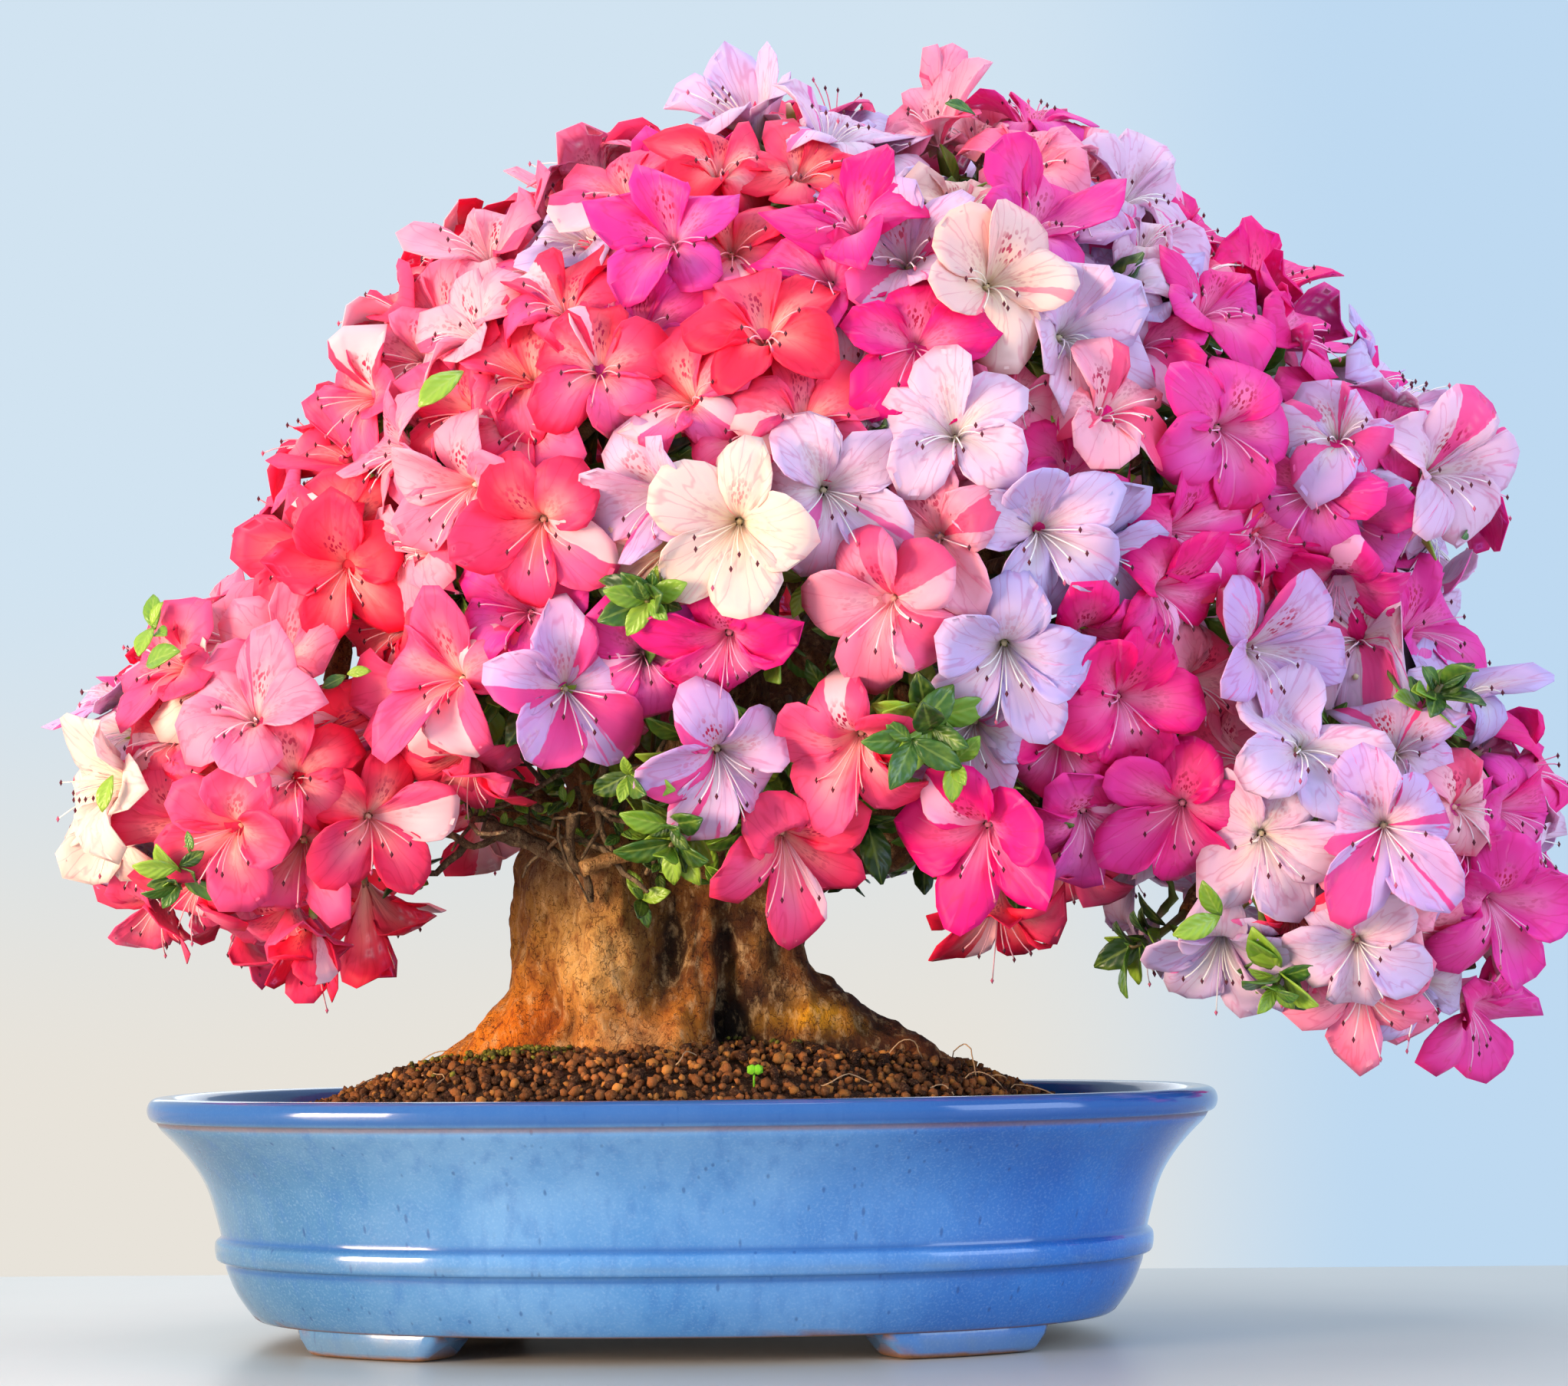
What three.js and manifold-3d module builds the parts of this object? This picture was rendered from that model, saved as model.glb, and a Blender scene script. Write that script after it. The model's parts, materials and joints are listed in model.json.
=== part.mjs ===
// A satsuki azalea bonsai in bloom, in its oval glazed pot. Millimetres, +Z up, front towards -Y.
// The pot stands on its four feet at z = 0, and the model is centred on its own box.
import * as THREE from "three";
import { mergeVertices } from "three/addons/utils/BufferGeometryUtils.js";
import { ConvexGeometry } from "three/addons/geometries/ConvexGeometry.js";
import Module from "manifold-3d";

const wasm = await Module();
wasm.setup();
const { Manifold, Mesh } = wasm;

// Driving sizes
const GAP = 0.35; // between pieces that touch
const RIM_LENGTH = 400; // the pot's rim, end to end
const RIM_DEPTH = 300;
const POT_HEIGHT = 91.5;
const POT_SQUARENESS = 2.35; // exponent of the oval: 2 is an ellipse
const POT_SIDES = 40;
const BASE_Z = 9.4; // underside of the pot's body
const FLOOR_Z = 19; // inside floor of the pot
const DRAIN_X = 75;
const DRAIN_RADIUS = 12;
const SCREEN_SIDE = 34;
const SCREEN_THICK = 1;
const SCREEN_HOLE = 7;
const SCREEN_PITCH = 10.4;
const WIRE_RADIUS = 0.9;
const SOIL_EDGE_Z = 84;
const MOUND_RISE = 24;
const BLOOM_RADIUS = 29;
const SPRAY_LEAVES = 6;

// The pot's walls as inset from the rim's outline and height, from the base's edge up and over the rim
const POT_PROFILE = [
  [40, BASE_Z], [32.7, 19], [28.6, 29.8], [25, 32], [24.8, 38], [26.8, 40], [22.8, 55], [15.2, 68.6],
  [3, 81], [0, 84.6], [0.6, 89.5], [3, POT_HEIGHT], [9.5, POT_HEIGHT],
];
// The inner wall, from the rim down to the inside floor
const INNER_PROFILE = [[17, 79], [32, 55], [43, 25], [52, FLOOR_Z]];

// A small generator of repeatable random numbers from 0 to 1
function randomFrom(seed) {
  let state = seed;
  return () => {
    state = (state * 16807) % 2147483647;
    return state / 2147483647;
  };
}

const vec = (x, y, z) => new THREE.Vector3(x, y, z);
const degrees = (angle) => (angle * Math.PI) / 180;

// A closed solid from points and triangles
function solidFrom(points, triangles) {
  return new Manifold(
    new Mesh({
      numProp: 3,
      vertProperties: new Float32Array(points.flat()),
      triVerts: new Uint32Array(triangles.flat()),
    }),
  );
}

// A closed solid from one of three.js's closed geometries
function solidFromGeometry(geometry) {
  const plain = geometry.clone();
  for (const name of Object.keys(plain.attributes)) if (name !== "position") plain.deleteAttribute(name);
  const merged = mergeVertices(plain, 1e-3);
  return new Manifold(
    new Mesh({
      numProp: 3,
      vertProperties: merged.attributes.position.array,
      triVerts: new Uint32Array(merged.index.array),
    }),
  );
}

// A closed solid through rings of points, each ring anticlockwise seen from the end of the row,
// with a fan of triangles at both ends
function loft(rings) {
  const count = rings[0].length;
  const points = rings.flat();
  const triangles = [];
  for (let i = 0; i + 1 < rings.length; i += 1) {
    for (let j = 0; j < count; j += 1) {
      const a = i * count + j;
      const b = i * count + ((j + 1) % count);
      triangles.push([a, b, b + count], [a, b + count, a + count]);
    }
  }
  const middle = (ring) => [0, 1, 2].map((k) => ring.reduce((sum, p) => sum + p[k], 0) / count);
  const last = (rings.length - 1) * count;
  points.push(middle(rings[0]), middle(rings[rings.length - 1]));
  for (let j = 0; j < count; j += 1) {
    const next = (j + 1) % count;
    triangles.push([points.length - 2, next, j], [points.length - 1, last + j, last + next]);
  }
  return solidFrom(points, triangles);
}

// One point of the pot's oval, at an angle round it and an inset from the rim's outline
function ovalPoint(angle, inset, z) {
  const power = 2 / POT_SQUARENESS;
  const part = (value, half) => Math.sign(value) * Math.abs(value) ** power * half;
  return [
    part(Math.cos(angle), RIM_LENGTH / 2 - inset),
    part(Math.sin(angle), RIM_DEPTH / 2 - inset),
    z,
  ];
}

function ovalRing(inset, z, sides) {
  return Array.from({ length: sides }, (_, j) => ovalPoint((2 * Math.PI * j) / sides, inset, z));
}

// A foot: a block that follows the oval between two angles, with ends that slope in below
function footSolid(fromAngle, toAngle) {
  const outer = 41;
  const inner = 61;
  const steps = 5;
  const block = (slope, z, thinner) => {
    const at = (j) => fromAngle + slope + ((toAngle - fromAngle - 2 * slope) * j) / (steps - 1);
    const outside = Array.from({ length: steps }, (_, j) => ovalPoint(at(j), outer + thinner, z));
    const inside = Array.from({ length: steps }, (_, j) => ovalPoint(at(steps - 1 - j), inner - thinner, z));
    return [...outside, ...inside];
  };
  return loft([block(degrees(3), 0, 1.5), block(0, 8.2, 0), block(0, BASE_Z + 3, 0)]);
}

function drillSolid(x) {
  const drill = new THREE.CylinderGeometry(DRAIN_RADIUS, DRAIN_RADIUS, 40, 20);
  drill.rotateX(Math.PI / 2);
  drill.translate(x, 0, BASE_Z);
  return solidFromGeometry(drill);
}

function potSolid() {
  const rings = [...POT_PROFILE, ...INNER_PROFILE].map(([inset, z]) => ovalRing(inset, z, POT_SIDES));
  let pot = loft(rings);
  const near = degrees(34);
  const far = degrees(64.4);
  for (const [from, to] of [
    [near, far],
    [Math.PI - far, Math.PI - near],
    [Math.PI + near, Math.PI + far],
    [2 * Math.PI - far, 2 * Math.PI - near],
  ])
    pot = pot.add(footSolid(from, to));
  for (const x of [-DRAIN_X, DRAIN_X]) pot = pot.subtract(drillSolid(x));
  return pot;
}

function boxSolid(width, depth, height, x, y, z) {
  const box = new THREE.BoxGeometry(width, depth, height);
  box.translate(x, y, z);
  return solidFromGeometry(box);
}

// A square of plastic mesh over a drain hole
function screenSolid(x) {
  const z = FLOOR_Z + GAP + SCREEN_THICK / 2;
  let screen = boxSolid(SCREEN_SIDE, SCREEN_SIDE, SCREEN_THICK, x, 0, z);
  for (let i = -1; i <= 1; i += 1) {
    for (let j = -1; j <= 1; j += 1) {
      const hole = boxSolid(
        SCREEN_HOLE, SCREEN_HOLE, 4 * SCREEN_THICK, x + i * SCREEN_PITCH, j * SCREEN_PITCH, z,
      );
      screen = screen.subtract(hole);
    }
  }
  return screen;
}

// Rings of a round tube along a line of points, with a radius at each point
function tubeRings(line, radii, sides) {
  let side = null;
  return line.map((point, i) => {
    const ahead = line[Math.min(i + 1, line.length - 1)];
    const behind = line[Math.max(i - 1, 0)];
    const along = ahead.clone().sub(behind).normalize();
    side = side || (Math.abs(along.z) < 0.9 ? vec(0, 0, 1) : vec(1, 0, 0));
    side = side.clone().addScaledVector(along, -side.dot(along)).normalize();
    const across = along.clone().cross(side);
    return Array.from({ length: sides }, (_, j) => {
      const turn = (2 * Math.PI * j) / sides;
      return point
        .clone()
        .addScaledVector(side, Math.cos(turn) * radii[i])
        .addScaledVector(across, Math.sin(turn) * radii[i])
        .toArray();
    });
  });
}

const tubeSolid = (line, radii, sides) => loft(tubeRings(line, radii, sides));

// The wire that holds a screen: down through two of its holes and bent over under the pot
function wireSolid(x) {
  const leg = SCREEN_PITCH;
  const top = FLOOR_Z + 2 * GAP + SCREEN_THICK + WIRE_RADIUS;
  const under = BASE_Z - GAP - WIRE_RADIUS;
  const reach = DRAIN_RADIUS + 8;
  const line = [
    vec(x - reach, 0, under), vec(x - leg - 1, 0, under), vec(x - leg + 1, 0, under + 3),
    vec(x - leg + 1, 0, top - 2), vec(x - leg + 3, 0, top), vec(x + leg - 3, 0, top),
    vec(x + leg - 1, 0, top - 2), vec(x + leg - 1, 0, under + 3), vec(x + leg + 1, 0, under),
    vec(x + reach, 0, under),
  ];
  return tubeSolid(line, line.map(() => WIRE_RADIUS), 6);
}

// The soil's surface: a mound that falls to the pot's edge
function soilHeight(x, y) {
  const reach = Math.min(1, Math.hypot(x / 155, y / 112));
  const bumps = 1.1 * Math.sin(x / 9.5 + 1.3) * Math.cos(y / 8.1) + 0.8 * Math.sin(x / 5.3 - y / 6.7);
  return SOIL_EDGE_Z + (MOUND_RISE * (1 + Math.cos(Math.PI * reach ** 2.35))) / 2 + bumps * (1 - reach);
}

function soilSolid() {
  const sides = 32;
  const wall = [...INNER_PROFILE].reverse();
  const rings = wall.map(([inset, z]) => ovalRing(inset + 2 * GAP, z + GAP, sides));
  for (const inset of [15, 34, 54, 76, 102]) {
    rings.push(ovalRing(inset, 0, sides).map(([x, y]) => [x, y, soilHeight(x, y)]));
  }
  let soil = loft(rings);
  const pocket = SCREEN_THICK + 2 * WIRE_RADIUS + 3 * GAP;
  for (const x of [-DRAIN_X, DRAIN_X]) {
    const side = SCREEN_SIDE + 2 * GAP;
    soil = soil.subtract(boxSolid(side, side, 2 * pocket, x, 0, FLOOR_Z));
  }
  return soil.subtract(stemSolid(GAP));
}

// The trunk's foot and shaft. Each slice is an oval with flutes, pushed out where a surface root
// leaves it and pushed in at the old hollow on its front.
const TRUNK_X = -6;
const TRUNK_FOOT_Z = 86;
const ROOT_LEVEL = 100;
const ROOTS = [
  { angle: 188, reach: 33, width: 15, rise: 30 },
  { angle: 216, reach: 15, width: 14, rise: 19 },
  { angle: 268, reach: 20, width: 20, rise: 16 },
  { angle: 334, reach: 17, width: 8, rise: 26 },
  { angle: 352, reach: 52, width: 10, rise: 39 },
  { angle: 35, reach: 30, width: 15, rise: 29 },
  { angle: 85, reach: 34, width: 17, rise: 33 },
  { angle: 140, reach: 33, width: 15, rise: 30 },
];
// The old hollow on the front: wide at the foot, and narrower and further left as it rises
const HOLLOW = { foot: 317, slant: 9, width: 11, narrows: 7.5, z: 104, height: 46, depth: 27 };

function trunkRadius(angle, z) {
  const apart = (from) => Math.abs(((angle - from + 540) % 360) - 180);
  const turn = degrees(angle);
  const rise = Math.max(0, z - 118) / 80;
  const half = { x: 56.5, y: 43 - 4 * rise };
  let radius = 1 / Math.hypot(Math.cos(turn) / half.x, Math.sin(turn) / half.y);
  radius += 2.6 * Math.sin(5 * turn + z / 34) + 1.8 * Math.sin(9 * turn - z / 26);
  const bell = (from, width) => Math.exp(-((apart(from) / width) ** 2));
  radius += 9 * bell(233, 25) * Math.exp(-(((z - 145) / 36) ** 4));
  const beside = 268 + 15 * Math.min(1, Math.max(0, (z - 118) / 52));
  radius -= 9 * bell(beside, 7) * Math.exp(-(((z - 140) / 34) ** 4));
  for (const root of ROOTS) {
    const above = Math.max(0, z - ROOT_LEVEL);
    const fade = Math.max(0, 1 - above / root.rise) ** 1.15;
    radius += root.reach * fade * bell(root.angle, root.width * (1 + above / 24));
  }
  const up = Math.min(1, Math.max(0, (z - HOLLOW.z) / HOLLOW.height));
  const opening = bell(HOLLOW.foot - HOLLOW.slant * up, HOLLOW.width - HOLLOW.narrows * up);
  radius -= HOLLOW.depth * opening * (1 - up ** 3);
  const shoulder = Math.min(1, Math.max(0, (z - 176) / 20)) ** 1.5;
  return radius * (1 - (0.14 + 0.3 * bell(195, 55)) * shoulder);
}

function stemSolid(grown) {
  const sides = 34;
  const levels = [TRUNK_FOOT_Z - grown, 100, 106, 113, 121, 130, 143, 160, 178, 196 + grown];
  const ring = (z) =>
    Array.from({ length: sides }, (_, j) => {
      const angle = (360 * j) / sides;
      const radius = trunkRadius(angle, z) + grown;
      return [TRUNK_X + radius * Math.cos(degrees(angle)), radius * Math.sin(degrees(angle)), z];
    });
  return loft(levels.map(ring));
}

// The camera of the reference view: hand-read places in it become places on the tree
const VIEW = {
  width: 2044, height: 1807, focal: 4340, distance: 1270, eyeHeight: 122,
  round: 5, heading: -3.22, pitch: 5.4, roll: 0.67,
};
const EYE = vec(
  VIEW.distance * Math.sin(degrees(VIEW.round)),
  -VIEW.distance * Math.cos(degrees(VIEW.round)),
  VIEW.eyeHeight,
);

function viewRay(px, py) {
  const u = (px - VIEW.width / 2) / VIEW.focal;
  const v = (VIEW.height / 2 - py) / VIEW.focal;
  const roll = degrees(VIEW.roll);
  const across = u * Math.cos(roll) + v * Math.sin(roll);
  const upward = v * Math.cos(roll) - u * Math.sin(roll);
  const heading = degrees(VIEW.heading);
  const pitch = degrees(VIEW.pitch);
  const level = vec(Math.sin(heading), Math.cos(heading), 0);
  const right = vec(Math.cos(heading), -Math.sin(heading), 0);
  const forward = level.clone().multiplyScalar(Math.cos(pitch)).add(vec(0, 0, Math.sin(pitch)));
  const up = level.clone().multiplyScalar(-Math.sin(pitch)).add(vec(0, 0, Math.cos(pitch)));
  return forward.addScaledVector(right, across).addScaledVector(up, upward).normalize();
}

// The pixel of the reference view that shows a place
function pixelOf(place) {
  const heading = degrees(VIEW.heading);
  const pitch = degrees(VIEW.pitch);
  const roll = degrees(VIEW.roll);
  const level = vec(Math.sin(heading), Math.cos(heading), 0);
  const right = vec(Math.cos(heading), -Math.sin(heading), 0);
  const forward = level.clone().multiplyScalar(Math.cos(pitch)).add(vec(0, 0, Math.sin(pitch)));
  const up = level.clone().multiplyScalar(-Math.sin(pitch)).add(vec(0, 0, Math.cos(pitch)));
  const from = place.clone().sub(EYE);
  const scale = VIEW.focal / from.dot(forward);
  const across = from.dot(right) * scale;
  const upward = from.dot(up) * scale;
  return [
    VIEW.width / 2 + across * Math.cos(roll) - upward * Math.sin(roll),
    VIEW.height / 2 - across * Math.sin(roll) - upward * Math.cos(roll),
  ];
}

// Where the reference view shows the trunk's left shoulder with twigs and leaves, and no bloom
const WINDOW = { left: 600, right: 880, top: 985, bottom: 1230, behind: 30 };

function inWindow(place) {
  const [px, py] = pixelOf(place);
  const across = px > WINDOW.left && px < WINDOW.right;
  return across && py > WINDOW.top && py < WINDOW.bottom && place.y < WINDOW.behind;
}

// The canopy as rounded pads of bloom: centre and half sizes
const PADS = [
  { centre: [60, 8, 299], half: [212, 168, 170] },
  { centre: [-145, -8, 213], half: [86, 104, 73] },
  { centre: [-98, 0, 292], half: [68, 100, 54] },
  { centre: [240, -6, 186], half: [88, 112, 88] },
  { centre: [236, 0, 306], half: [68, 104, 62] },
  { centre: [-22, -38, 236], half: [104, 96, 56] },
  { centre: [112, -14, 204], half: [86, 108, 58] },
];
const CANOPY = vec(50, 0, 262);

function padNormal(pad, point) {
  return vec(...[0, 1, 2].map((k) => (point.getComponent(k) - pad.centre[k]) / pad.half[k] ** 2)).normalize();
}

// Where a ray enters a pad and leaves it, or where it passes closest
function padCrossing(pad, from, along) {
  const scaled = (v, k) => v.getComponent(k) / pad.half[k];
  const start = [0, 1, 2].map((k) => (from.getComponent(k) - pad.centre[k]) / pad.half[k]);
  const step = [0, 1, 2].map((k) => scaled(along, k));
  const dot = (p, q) => p[0] * q[0] + p[1] * q[1] + p[2] * q[2];
  const a = dot(step, step);
  const b = dot(start, step);
  const left = b * b - a * (dot(start, start) - 1);
  const root = Math.sqrt(Math.max(0, left));
  return { hit: left >= 0, miss: -left / a, enter: (-b - root) / a, leave: (-b + root) / a };
}

// The first place on the canopy that a ray meets
function canopySeen(px, py) {
  const along = viewRay(px, py);
  let best = null;
  for (const pad of PADS) {
    const crossing = padCrossing(pad, EYE, along);
    const rank = crossing.hit ? crossing.enter : 1e5 * (1 + crossing.miss);
    if (!best || rank < best.rank) best = { rank, pad, distance: crossing.enter };
  }
  const place = EYE.clone().addScaledVector(along, best.distance);
  return { place, normal: padNormal(best.pad, place) };
}

// The outermost place on the canopy in a direction from its middle
function canopyTowards(along) {
  let best = null;
  for (const pad of PADS) {
    const crossing = padCrossing(pad, CANOPY, along);
    if (crossing.hit && crossing.leave > 0 && (!best || crossing.leave > best.distance))
      best = { pad, distance: crossing.leave };
  }
  const place = CANOPY.clone().addScaledVector(along, best.distance);
  return { place, normal: padNormal(best.pad, place) };
}

// Blooms of the front as read from the reference view: place and radius in its pixels, and colour
// (C coral, M magenta, P pale pink, W white or cream, S white with pink stripes)
const FRONT_BLOOMS = `
130 1015 75 W, 115 1085 60 W, 150 1150 50 W, 125 880 45 S, 120 930 45 W, 250 785 40 P, 205 850 60 C,
190 940 60 C, 170 1030 50 C, 180 1120 45 C, 210 1090 70 C, 260 1010 60 C, 290 1090 75 C, 230 1180 55 C,
310 1170 75 C, 370 1230 50 C, 390 1120 80 C, 490 1065 105 C, 380 1010 85 C, 440 960 60 C, 285 800 60 P,
365 830 75 P, 260 880 65 W, 320 920 80 P, 440 750 70 C, 370 720 65 C, 430 665 60 C, 415 570 45 C,
450 510 60 C, 490 580 60 P, 505 445 55 P, 535 385 45 P, 580 325 40 W, 590 375 45 M, 620 300 55 P,
665 255 55 P, 705 225 40 P, 755 185 45 P, 735 280 65 W, 675 315 60 C, 725 375 65 C, 790 345 55 P,
800 230 70 C, 850 215 45 M, 590 410 50 P, 645 395 40 W, 565 470 50 C, 570 520 60 C, 665 470 75 C,
665 545 70 C, 780 470 85 C, 830 400 60 M, 880 500 85 C, 590 640 85 P, 520 700 80 P, 700 690 110 C,
840 640 90 S, 840 725 50 W, 670 790 75 M, 580 880 105 C, 475 810 45 C, 745 900 110 S, 590 1030 75 C,
840 860 80 M, 940 850 80 M, 955 690 110 W, 1085 640 105 W, 1150 560 60 S, 950 990 115 S, 1035 1110 105 C,
1110 980 105 C, 1150 790 115 P, 890 170 50 M, 940 200 85 C, 1050 190 80 C, 1090 150 60 W, 1140 150 45 S,
1140 200 45 W, 1105 270 75 M, 870 300 80 M, 950 290 50 C, 970 335 50 C, 1215 140 70 P, 1275 140 60 P,
1265 235 75 W, 1180 310 85 S, 1065 340 80 M, 995 420 100 C, 1120 410 45 M, 1195 440 75 M, 1115 480 65 W,
1050 530 75 C, 970 545 60 C, 1300 365 115 W, 1350 130 60 M, 1425 145 35 M, 1475 190 45 M, 1345 190 65 P,
1410 195 55 P, 1360 280 90 M, 1430 250 60 S, 1490 230 60 W, 1500 285 60 S, 1580 270 55 M, 1625 290 40 M,
1590 310 50 P, 1520 350 55 W, 1470 340 60 W, 1410 430 105 W, 1510 420 50 M, 1590 385 80 M, 1665 350 60 M,
1700 420 85 M, 1755 490 60 M, 1240 550 85 W, 1215 700 100 P, 1310 590 60 P, 1360 690 100 W, 1450 720 80 W,
1310 860 105 W, 1455 520 85 P, 1420 600 70 M, 1365 560 35 M, 1330 495 40 P, 1600 565 120 M, 1710 640 90 M,
1665 700 40 M, 1745 550 65 S, 1770 635 45 W, 1825 530 75 M, 1885 610 105 S, 1570 690 80 M, 1540 780 65 M,
1640 745 45 C, 1780 710 50 M, 1840 715 45 P, 1920 715 55 W, 1650 840 115 S, 1745 780 65 M, 1860 810 95 M,
1770 860 85 S, 1920 880 80 W, 1430 850 90 M, 1470 910 90 M, 1390 980 75 M, 1275 1090 120 M, 1425 1090 100 M,
1540 1060 110 M, 1300 1210 85 C, 1400 1175 45 C, 1470 1240 60 W, 1590 1250 100 W, 1600 900 45 P,
1610 965 45 P, 1710 970 105 W, 1830 960 75 S, 1650 1100 105 W, 1800 1080 115 S, 1870 1130 55 S,
1930 1050 45 P, 1950 1105 60 M, 1960 1190 90 M, 1995 1260 55 P, 1940 1330 80 M, 1810 1180 75 P,
1770 1240 85 W, 1865 1240 45 P, 1780 1325 80 P, 1690 1240 50 C, 1640 1270 60 W, 1710 1280 40 P,
1865 1310 40 W`;

// Leafy sprays seen in the gaps of the front, and where more of them hang under the canopy
const FRONT_LEAVES = `
240 1140, 850 780, 880 1090, 1210 940, 1490 1225, 1665 1275, 1868 905`;

const readRows = (text) => text.trim().split(/,\s+/).map((row) => row.split(" "));

// A bloom's own directions: out along its throat, and up towards its uppermost petal
function bloomFrame(out, tilt) {
  const lift = vec(0, 0, 1).addScaledVector(out, -out.z);
  if (lift.length() < 0.05) lift.set(0, 1, 0);
  lift.normalize().applyAxisAngle(out, tilt);
  return { out, tilt, lift, side: lift.clone().cross(out) };
}

function frontBlooms() {
  const random = randomFrom(41);
  return readRows(FRONT_BLOOMS).map(([px, py, size, colour]) => {
    const { place, normal } = canopySeen(Number(px), Number(py));
    const share = Number(size) / 115;
    const toEye = EYE.clone().sub(place).normalize();
    const out = normal.clone().addScaledVector(toEye, 0.55 * share).normalize();
    place.addScaledVector(normal, 14 * (share - 0.75));
    const radius = BLOOM_RADIUS * (0.8 + 0.2 * share);
    return { place, colour, radius, rank: share, ...bloomFrame(out, (random() - 0.5) * 1.1) };
  });
}

// Places all over the canopy but its underside, spread by the golden angle
const SURFACE = { tries: 600, lowest: -0.62 };

function surfacePlaces() {
  const places = [];
  for (let i = 0; i < SURFACE.tries; i += 1) {
    const rise = 1 - (2 * (i + 0.5)) / SURFACE.tries;
    if (rise < SURFACE.lowest) break;
    const turn = i * Math.PI * (3 - Math.sqrt(5));
    const flat = Math.sqrt(1 - rise * rise);
    places.push(canopyTowards(vec(Math.cos(turn) * flat, Math.sin(turn) * flat, rise)));
  }
  return places;
}

// Blooms on the sides that the reference view doesn't show
const OTHERS_APART = 48;

function otherBlooms(front) {
  const random = randomFrom(977);
  const blooms = [];
  for (const { place, normal } of surfacePlaces()) {
    const draws = [random(), random(), random()];
    if ([...front, ...blooms].some((b) => b.place.distanceTo(place) < OTHERS_APART)) continue;
    if (inWindow(place)) continue;
    const colour = colourAt(place, draws[0]);
    const radius = BLOOM_RADIUS * (0.9 + 0.12 * draws[1]);
    blooms.push({ place, colour, radius, rank: 0.6, ...bloomFrame(normal, (draws[2] - 0.5) * 1.4) });
  }
  return blooms;
}

// The colours follow the branches: coral to the left, magenta and white to the right
function colourAt(place, draw) {
  const rightwards = (place.x + 60) / 300 + (draw - 0.5) * 0.9;
  if (rightwards < 0.25) return "C";
  if (rightwards < 0.45) return "P";
  return draw < 0.45 ? "M" : "W";
}

// A bloom: five lobes that overlap like a pinwheel, round a deep throat, closing to its tube behind.
// A lobe has two corners on a large bloom and one on a small one, and a notch after it.
const LARGE_BLOOM = 0.62;
const LOBES = {
  large: [[-21, 0.97, 0.07], [19, 1, -0.1], [36, 0.7, 0.02]],
  small: [[0, 1, -0.04], [36, 0.72, 0.03]],
};

function bloomSolid(bloom) {
  const at = (angle, r, height) =>
    bloom.place
      .clone()
      .addScaledVector(bloom.side, Math.cos(degrees(angle)) * r * bloom.radius)
      .addScaledVector(bloom.lift, Math.sin(degrees(angle)) * r * bloom.radius)
      .addScaledVector(bloom.out, height * bloom.radius)
      .toArray();
  const outline = [];
  for (let lobe = 0; lobe < 5; lobe += 1) {
    const corners = bloom.rank >= LARGE_BLOOM ? LOBES.large : LOBES.small;
    for (const [turn, r, height] of corners) outline.push(at(90 + 72 * lobe + turn, r, height));
  }
  const count = outline.length;
  const throat = count;
  const neck = (j) => count + 1 + (Math.floor((3 * j) / count) % 3);
  const tube = count + 4;
  const points = [...outline, at(0, 0, -0.4)];
  for (let k = 0; k < 3; k += 1) points.push(at(90 + 60 + 120 * k, 0.13, -0.5));
  points.push(at(0, 0, -1.1));
  const triangles = [];
  for (let j = 0; j < count; j += 1) {
    const next = (j + 1) % count;
    triangles.push([throat, j, next], [neck(j), next, j]);
    if (neck(next) !== neck(j)) triangles.push([neck(j), neck(next), next], [tube, neck(next), neck(j)]);
  }
  return solidFrom(points, triangles);
}

// Bunches: each bloom belongs to the nearest branch tip, and the tips keep their distance
const TIPS_APART = 104;
const TIP_DEPTH = 26;
const BUNCH_SPREAD = 0.5; // how far a bunch's blooms turn away from its middle
const SPRAY_CLEAR = 55; // from a leafy spray to the nearest branch tip

function branchTips(sprays) {
  const tips = [];
  for (const { place, normal } of surfacePlaces()) {
    if (tips.some((tip) => tip.surface.distanceTo(place) < TIPS_APART)) continue;
    if (sprays.some((spray) => spray.place.distanceTo(place) < SPRAY_CLEAR)) continue;
    const inside = place.clone().addScaledVector(normal, -TIP_DEPTH);
    tips.push({ surface: place, place: inside, end: inside, weight: 0, blooms: [], shell: [] });
  }
  return tips;
}

// Keeps the part of a solid that is nearer to its own centre than to any other, less half the gap
function keepCell(solid, own, centres) {
  let kept = solid;
  for (const other of centres) {
    if (other === own) continue;
    const apart = own.place.clone().sub(other.place);
    const distance = apart.length();
    if (distance > 260) continue;
    apart.divideScalar(distance);
    const middle = (distance * distance + own.weight - other.weight) / (2 * distance);
    const offset = own.place.dot(apart) - middle + GAP / 2;
    kept = kept.trimByPlane(apart.toArray(), offset);
  }
  return kept;
}

// The largest of a solid's separate bodies
function largestBody(solid) {
  return solid.decompose().sort((a, b) => b.volume() - a.volume())[0];
}

const unite = (solids) => solids.reduce((all, solid) => all.add(solid));

// A bunch: a core of its blooms' seats and its stretch of inner canopy, and the blooms that stand
// out of it
const CORE_DEPTH = 25;
const CORE_THICK = 34;
const SHELL_REACH = 92; // the inner canopy that a core spans before its cell cuts it

function bunchSolid(tip) {
  const core = tip.blooms.map((b) => b.place.clone().addScaledVector(b.out, -0.66 * b.radius));
  for (const { place, normal } of tip.shell) core.push(place.clone().addScaledVector(normal, -CORE_DEPTH));
  const inner = tip.place.clone().lerp(tip.surface, -CORE_THICK / TIP_DEPTH / 2);
  core.push(inner, tip.place);
  const solids = [solidFromGeometry(new ConvexGeometry(core))];
  for (const bloom of tip.blooms) solids.push(bloomSolid(bloom));
  return unite(solids);
}

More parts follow.
